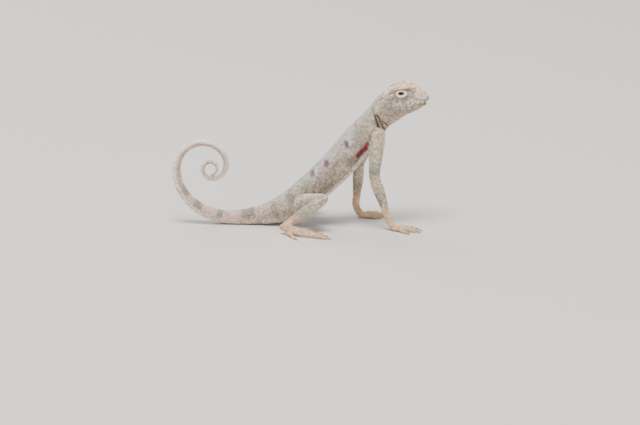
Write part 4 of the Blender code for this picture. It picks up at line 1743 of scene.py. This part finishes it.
@dataclass
class Coat:
    """The scales over the skin."""

    roots: dict[str, np.ndarray]  # what the placer read at each root
    near: np.ndarray  # the neighbours of each root
    tints: np.ndarray  # the colour at each root
    places: np.ndarray  # where each root lies on the unwrap
    low: np.ndarray  # the lowest corner that they may reach, in millimetres
    high: np.ndarray  # the highest one
    reach: float = 0.8  # the most that an outline reaches, in pitches
    fill: float = 0.97  # how much of its cell a scale fills
    sunk: float = 0.05  # how deep a scale's foot stands in the skin
    taper: float = 0.82  # how long its upper edge is, as a share of its foot
    stretch: float = 1.4  # how much of its lean goes into its rear
    narrow: float = 0.87  # how wide its upper edge is, as a share of its foot
    front: float = 0.48  # how high its front stands where it has no lean, as a share of its rise
    crest: float = 1.12  # how high its middle stands, in the same way
    shades: tuple[float, ...] = (0.7, 0.98, 1.05)  # the tones of foot, upper edge and middle: painted shade at the foot, a painted highlight on the middle

    def axes(self, pick: np.ndarray) -> tuple[np.ndarray, ...]:
        """Where roots lie, and the ways along, across and out of the skin there."""
        place, lie, normal = (self.roots[key][pick] for key in ("place", "lie", "normal"))
        return place, lie, np.cross(normal, lie), normal

    def outlines(self, sides: int, pick: np.ndarray) -> np.ndarray:
        """How far each scale reaches in each direction before it meets its neighbours.

        Args:
            sides: The number of directions.
            pick: The roots.

        Returns:
            A row of lengths for each root.
        """
        place, lie, across, normal = self.axes(pick)
        near = self.near[pick]
        away = self.roots["place"][near] - place[:, None]
        facing = (self.roots["normal"][near] * normal[:, None]).sum(2)
        u = (away * lie[:, None]).sum(2)
        v = (away * across[:, None]).sum(2)
        flat = np.sqrt(u * u + v * v) + 1e-9
        full = np.linalg.norm(away, axis=2)
        u, v = u * full / flat, v * full / flat
        real = np.sort(full, axis=1)[:, 1:6].mean(1)
        most = self.reach * np.minimum(real, 1.5 * self.roots["pitch"][pick])
        out = np.empty((len(pick), sides))
        for m in range(sides):
            turn = 2 * math.pi * m / sides
            along = u * math.cos(turn) + v * math.sin(turn)
            meets = full**2 / (2 * np.maximum(along, 1e-9))
            meets[(along <= 0) | (facing < 0.1) | (full < 1e-6)] = 1e9
            out[:, m] = np.minimum(meets.min(1), most)
        return out * self.fill

    def piece(self, name: str, pick: np.ndarray, form: ZoneForm) -> bpy.types.Object:
        """One joined mesh of scales.

        Args:
            name: Its name.
            pick: Its roots.
            form: The kind of scale.

        Returns:
            The object, in metres.
        """
        sides = form.sides
        reach = self.outlines(sides, pick)
        place, *ways = self.axes(pick)
        turns = 2 * np.pi * np.arange(sides) / sides
        cos, sin = np.cos(turns), np.sin(turns)
        mean = reach.mean(1, keepdims=True)
        size = np.clip(mean * 2 / form.pitch, 0.5, 1.3)
        back = (cos + 1) / 2
        lap = self.taper + form.lap * back * self.stretch
        keel = form.keel * (np.abs(sin) < 0.3)
        front = self.front - form.lap
        u = np.concatenate((reach * cos, reach * cos * lap, mean * 0.12), 1)
        v = np.concatenate((reach * sin, reach * sin * self.narrow, mean * 0), 1)
        top = size * (form.rise * (front + (1 - front) * back) + keel)
        tip = size * (form.rise * self.crest + form.keel)
        w = np.concatenate((np.full_like(reach, -self.sunk), top, tip), 1)
        points = np.clip(stepped(place, ways, (u, v, w)), self.low, self.high)
        patch = np.stack((u / mean, v / mean), 2).clip(-1.1, 1.1) * UNWRAP_PATCH
        patch = patch + self.places[pick][:, None]
        foot = np.stack((cos, sin), 1) * 0.1 - 0.87
        foot = foot * UNWRAP_PATCH + self.places[pick][:, None]
        obj = self.joined(name, points.reshape(-1, 3) * MM, len(pick), sides, patch, foot)
        # Each scale is painted darker at its foot and lighter at its middle: painted shade and
        # painted highlight
        edge = np.repeat(self.shades, (sides, sides, 1))
        colours = self.tints[pick][:, None] * edge[None, :, None]
        set_tint(obj, colours.reshape(-1, 3))
        return obj

    @staticmethod
    def joined(
        name: str, points: np.ndarray, count: int, sides: int, patch: np.ndarray, foot: np.ndarray
    ) -> bpy.types.Object:
        """The mesh of many scales of one build.

        Args:
            name: Its name.
            points: The points of all scales, scale after scale.
            count: How many scales.
            sides: The corners of an outline.
            patch: The place of each point on the unwrap.
            foot: The place there of each corner of a scale's underside.

        Returns:
            The object.
        """
        each = 2 * sides + 1
        k = np.arange(sides)
        after = (k + 1) % sides
        walls = np.stack((k, after, after + sides, k + sides), 1).ravel()
        tops = np.stack((k + sides, after + sides, np.full(sides, 2 * sides)), 1).ravel()
        loops = np.concatenate((walls, tops, k[::-1]))
        sizes = np.concatenate((np.full(sides, 4), np.full(sides, 3), [sides]))
        starts = np.concatenate(([0], np.cumsum(sizes)[:-1]))
        base = np.arange(count)[:, None]
        all_loops = (loops[None] + base * each).ravel()
        all_starts = (starts[None] + base * len(loops)).ravel()
        mesh = bpy.data.meshes.new(name)
        mesh.vertices.add(len(points))
        mesh.vertices.foreach_set("co", points.ravel())
        mesh.loops.add(len(all_loops))
        mesh.loops.foreach_set("vertex_index", all_loops)
        mesh.polygons.add(len(all_starts))
        mesh.polygons.foreach_set("loop_start", all_starts)
        mesh.update(calc_edges=True)
        mesh.shade_smooth()
        spots = patch[:, loops]
        spots[:, -sides:] = foot[:, ::-1]
        layer = mesh.uv_layers.new(name=UNWRAP_NAME)
        layer.data.foreach_set("uv", np.clip(spots, 0, 1).ravel().astype(np.float32))
        return placed(name, mesh)


@dataclass
class Spines:
    """Small pointed scales: the combs of the lids and the fringes of the toes."""

    gain: float = 1.05  # how much lighter they are than the skin
    # where each is rooted and points, its upper side, and its length and half its width
    rows: list[tuple] = field(default_factory=list)

    @property
    def places(self) -> np.ndarray:
        """The roots, in millimetres."""
        return np.array([row[0] for row in self.rows])

    def build(self, name: str, spots: np.ndarray, tints: np.ndarray) -> bpy.types.Object:
        """Makes them as one mesh.

        Args:
            name: Its name.
            spots: Where each root lies on the unwrap.
            tints: The colour at each root.

        Returns:
            The object, in metres.
        """
        place, way, top, size = (np.array(column) for column in zip(*self.rows))
        way = unit(way)
        across = unit(np.cross(top, way))
        over = np.cross(way, across)
        turns = np.arange(6) * math.pi / 3
        ring = np.stack((np.cos(turns), np.sin(turns) * 0.7), 1)
        flat = np.concatenate((ring, ring * 0.8, np.zeros((1, 2))))
        out = np.concatenate((np.zeros(6), np.full(6, 0.5), np.ones(1)))
        steps = (size[:, :1] * out, size[:, 1:] * flat[:, 0], size[:, 1:] * flat[:, 1])
        points = stepped(place, [way, across, over], steps)
        points[..., 2] = np.maximum(points[..., 2], 0.002)
        wide = np.concatenate((ring, ring * 0.5, np.zeros((1, 2))))
        patch = spots[:, None] + wide * UNWRAP_PATCH
        foot = spots[:, None] + (ring * 0.1 - 0.87) * UNWRAP_PATCH
        obj = Coat.joined(name, points.reshape(-1, 3) * MM, len(place), 6, patch, foot)
        set_tint(obj, np.repeat(tints * self.gain, 13, axis=0))
        return obj


@dataclass
class Speckle:
    """The colour that single scales have of their own."""

    dark: float = 0.18  # the share of scales that are dark specks
    light: float = 0.16  # the share that are light ones
    drop: float = 0.32  # how much darker the dark ones are
    lift: float = 0.28  # how much lighter the light ones are
    spread: float = 0.09  # how much all of them vary
    warmth: float = 0.025  # how much their warmth varies

    def over(self, tints: np.ndarray, keep: np.ndarray) -> np.ndarray:
        """Varies the colour of each scale.

        Args:
            tints: The colour at every root.
            keep: How much of the variation each root takes.

        Returns:
            The colours.
        """
        random = np.random.default_rng(SEED + 1)
        draw = random.random(len(tints))
        gain = 1 + random.normal(0, self.spread, len(tints)) * keep
        gain *= 1 - self.drop * (draw < self.dark) * keep
        gain *= 1 + self.lift * (draw > 1 - self.light) * keep
        warm = random.normal(0, self.warmth, len(tints)) * keep
        return tints * np.stack((gain * (1 + warm), gain, gain * (1 - warm * 1.6)), 1)


@dataclass
class Studio:
    """The floor, the light and the camera."""

    reach: float = 2.0  # half the width of the floor, in metres

    def build(self) -> None:
        """Makes all of it."""
        self.camera()
        self.floor()
        self.light("key", (-0.06, -0.22, 0.85), 0.4, 12.0, (1.0, 0.98, 0.95))
        self.light("fill", (0.5, -0.6, 0.3), 0.6, 1.4, (1.0, 0.98, 0.96))
        self.light("rim", (-0.3, 0.6, 0.5), 0.5, 4.0, (0.95, 0.97, 1.0))
        world = bpy.data.worlds.new("sky")
        world.use_nodes = True
        sky = world.node_tree.nodes["Background"]
        sky.inputs["Color"].default_value = (0.93, 0.95, 0.98, 1)
        sky.inputs["Strength"].default_value = 0.62
        bpy.context.scene.world = world

    def camera(self) -> None:
        """Sets the camera where the photograph was taken from."""
        back = Vector((0, -math.cos(ELEVATION), math.sin(ELEVATION)))
        up = Vector((0, math.sin(ELEVATION), math.cos(ELEVATION)))
        eye = Vector(node_middle("eye_right"))
        right = (EYE_PIXEL[0] - FRAME_SIZE[0] / 2) * PIXEL * MM
        above = (FRAME_SIZE[1] / 2 - EYE_PIXEL[1]) * PIXEL * MM
        centre = eye - Vector((right, 0, 0)) - up * above
        distance = FRAME_SIZE[0] * PIXEL * MM * LENS / SENSOR
        data = bpy.data.cameras.new("camera")
        data.lens = LENS
        data.sensor_width = SENSOR
        data.clip_start = 0.01
        data.clip_end = 10
        camera = placed("camera", data)
        camera.location = centre + back * distance
        camera.rotation_euler = (-back).to_track_quat("-Z", "Y").to_euler()
        bpy.context.scene.camera = camera

    def floor(self) -> None:
        """Lays the floor."""
        bpy.ops.mesh.primitive_plane_add(size=self.reach * 2, location=(0, 0, 0))
        floor = bpy.context.object
        floor.name = "floor"
        surface = {"Base Color": (0.62, 0.59, 0.55, 1), "Roughness": 0.9}
        floor.data.materials.append(Graph("floor").dress(surface))

    @staticmethod
    def light(name: str, place: tuple, size: float, power: float, colour: tuple) -> None:
        """Hangs one soft lamp that looks at the animal.

        Args:
            name: Its name.
            place: Where it hangs, in metres.
            size: Its width.
            power: In watts.
            colour: Red, green and blue.
        """
        data = bpy.data.lights.new(name, "AREA")
        data.size = size
        data.energy = power
        data.color = colour
        lamp = placed(name, data)
        lamp.location = place
        way = Vector((0, 0, 0.015)) - Vector(place)
        lamp.rotation_euler = way.to_track_quat("-Z", "Y").to_euler()


@dataclass(frozen=True)
class EyeFinish:
    """The finish of an eyeball: black pupil, brown iris, dark white."""

    name: str  # the material's name
    pupil: float = 0.00042  # the pupil's radius, in metres
    iris: float = 0.00078  # the iris's radius

    def make(self, middle: np.ndarray) -> bpy.types.Material:
        """Builds the material.

        Args:
            middle: The middle of the eyeball, in metres.

        Returns:
            The material.
        """
        graph = Graph(self.name)
        where = graph.where()
        flat = {"Vector": where, "Location": (-middle[0], 0, -middle[2]), "Scale": (1, 0, 1)}
        place = graph.add("ShaderNodeMapping", "Vector", flat)
        gap = graph.add("ShaderNodeVectorMath", "Value", {0: place}, operation="LENGTH")
        full = self.iris * 1.3
        share = graph.scaled(gap, {"From Max": full})
        ring = graph.add("ShaderNodeValToRGB", "Color", {"Fac": share})
        stops = ring.node.color_ramp.elements
        rows = (
            (self.pupil / full, (0.004, 0.003, 0.003, 1)),
            (self.pupil / full + 0.05, (0.055, 0.028, 0.012, 1)),
            (self.iris / full, (0.04, 0.022, 0.011, 1)),
            (self.iris / full + 0.06, (0.012, 0.009, 0.008, 1)),
        )
        for number, (position, colour) in enumerate(rows):
            stop = stops[number] if number < 2 else stops.new(position)
            stop.position, stop.color = position, colour
        grain = graph.add("ShaderNodeTexNoise", "Color", {"Vector": where, "Scale": 9000})
        colour = graph.times(ring, grain, 0.6)
        return graph.dress({"Roughness": 0.06, "Coat Weight": 0.6, "Base Color": colour})


@dataclass
class Eye:
    """One eyeball, seen through the slit of its lids."""

    side: str  # right or left
    half: tuple[float, float, float] = (1.45, 1.47, 1.15)  # half its length, width and height

    def build(self) -> bpy.types.Object:
        """Makes the eyeball.

        Returns:
            The object.
        """
        middle = node_middle(f"eye_{self.side}")
        bpy.ops.mesh.primitive_uv_sphere_add(
            segments=48, ring_count=24, radius=1, location=middle, rotation=(math.pi / 2, 0, 0)
        )
        ball = bpy.context.object
        ball.name = f"eyeball_{self.side}"
        select_only(ball)
        bpy.ops.object.transform_apply(location=False, rotation=True, scale=False)
        ball.scale = [h * MM for h in self.half]
        bpy.ops.object.transform_apply(location=True, rotation=True, scale=True)
        bpy.ops.object.shade_smooth()
        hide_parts(f"eye_{self.side}")
        settle(ball, EyeFinish(f"eye_{self.side}").make(middle))
        return ball


@dataclass(frozen=True)
class HornFinish:
    """The finish of the claws: brown horn, darker to the tip."""

    name: str = "claw_horn"  # the material's name

    def make(self) -> bpy.types.Material:
        """Builds the material.

        Returns:
            The material.
        """
        graph = Graph(self.name)
        lines = {"Vector": graph.where(), "Scale": 5000, "Detail": 3}
        streak = graph.add("ShaderNodeTexNoise", "Fac", lines)
        shade = graph.scaled(streak, {"To Min": 0.75, "To Max": 1.2})
        return graph.dress({"Roughness": 0.34, "Base Color": graph.times(graph.tint(), shade)})


@dataclass
class Claw:
    """One curved claw."""

    node: str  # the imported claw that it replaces
    way: np.ndarray  # the direction that its digit points, flat on the floor
    root: float = 0.75  # how far it reaches back into the digit, in millimetres
    slim: float = 0.82  # how thick it is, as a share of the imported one

    def build(self, material: bpy.types.Material) -> bpy.types.Object:
        """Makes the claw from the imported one: rounder, and rooted in its digit.

        Args:
            material: Its finish.

        Returns:
            The object.
        """
        points, tris = node_mesh(self.node)
        way = unit(self.way * np.array((1, 1, 0)))
        along = points @ way
        back = along < along.min() + 0.05
        points = points - np.outer(back * self.root, way)
        start, end = points[back].mean(0), points[along > along.max() - 0.04].mean(0)
        chord = unit(end - start)
        line = start + np.outer((points - start) @ chord, chord)
        points = line + (points - line) * self.slim
        claw = mesh_object(f"{self.node}_horn", points * MM, tris)
        smooth = claw.modifiers.new("round", "SUBSURF")
        smooth.levels = 2
        smooth.render_levels = 2
        apply_modifiers(claw)
        bpy.ops.object.shade_smooth()
        place, _ = corner_table(claw)
        part = ramp(along.min() * MM, along.max() * MM, place @ way)[:, None]
        set_tint(claw, srgb("b89a78") * (1 - part) + srgb("6b5140") * part)
        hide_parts(self.node)
        settle(claw, material)
        return claw


def build_claws(body: Body) -> None:
    """Makes all the claws.

    Args:
        body: What the solids say.
    """
    material = HornFinish().make()
    for side in SIDES:
        for digit in ("finger", "toe"):
            for number in range(1, 6):
                node = f"claw_{digit}_{number}_{side}"
                Claw(node, claw_way(node)).build(material)


def claw_way(node: str) -> np.ndarray:
    """The direction in which a packed claw points.

    Args:
        node: The claw.

    Returns:
        A direction of length one.
    """
    points, _ = node_mesh(node)
    low = points[:, 2] < points[:, 2].min() + 0.12
    thick = points[:, 2] > points[:, 2].max() - 0.12
    return unit(points[low].mean(0) - points[thick].mean(0))


def build_coat(skin: Skin) -> None:
    """Makes all the scales.

    Args:
        skin: The finished skin.
    """
    rows = Rows(skin)
    placer = Placer(skin, rows)
    roots = placer.roots()
    at = placer.at(roots)
    lids = ramp(1.8, 3.2, at.slit)
    calm = np.where(at.zones >= Zone.HAND.value, 0.45, 1.0)
    calm = calm - 0.35 * (at.zones == Zone.TAIL.value)
    tints = Speckle().over(Markings(at).tone, lids * calm)
    near, _ = neighbours(roots["place"], 12)
    unwrap = Unwrap(skin.body)
    low, high = (np.array(corner) / MM for corner in CAD_BOX)
    coat = Coat(roots, near, tints, unwrap.read(at), low + 0.003, high - 0.003)
    finish = SkinFinish("scales", 0.55, 9000, 0.00001).make()
    for zone, form in FORMS.items():
        pick = np.nonzero(at.zones == zone.value)[0]
        most = PIECE_LIMIT // (form.sides * 4 - 2)
        LOG.info("%s has %d scales", zone.name, len(pick))
        for part, start in enumerate(range(0, len(pick), most)):
            name = f"scales_{zone.name.lower()}_{part + 1}"
            settle(coat.piece(name, pick[start : start + most], form), finish)
    at = placer.at(placer.read(rows.spines.places))
    piece = rows.spines.build("fringes", unwrap.read(at), Markings(at).tone)
    settle(piece, finish)


def main() -> None:
    """Builds every piece in order."""
    logging.basicConfig(level=logging.INFO, format="%(relativeCreated)6d %(name)s: %(message)s")
    Studio().build()
    body = Body()
    skin = Skin(body)
    skin_piece = skin.build()
    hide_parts(*[m.name for m in body.members])
    grid = skin.grid
    places = Places(body, grid.points, skin.normals, skin.owners, skin.mouth)
    # The skin is painted darker under its scales, as painted shade in the gaps between them
    set_tint(skin_piece, Markings(places).tone * SKIN_SHADE)
    settle(skin_piece, SkinFinish("skin", 0.62, 6000, 0.00002).make())
    build_coat(skin)
    for side in SIDES:
        Eye(side).build()
    build_claws(body)


if __name__ == "__main__":
    main()
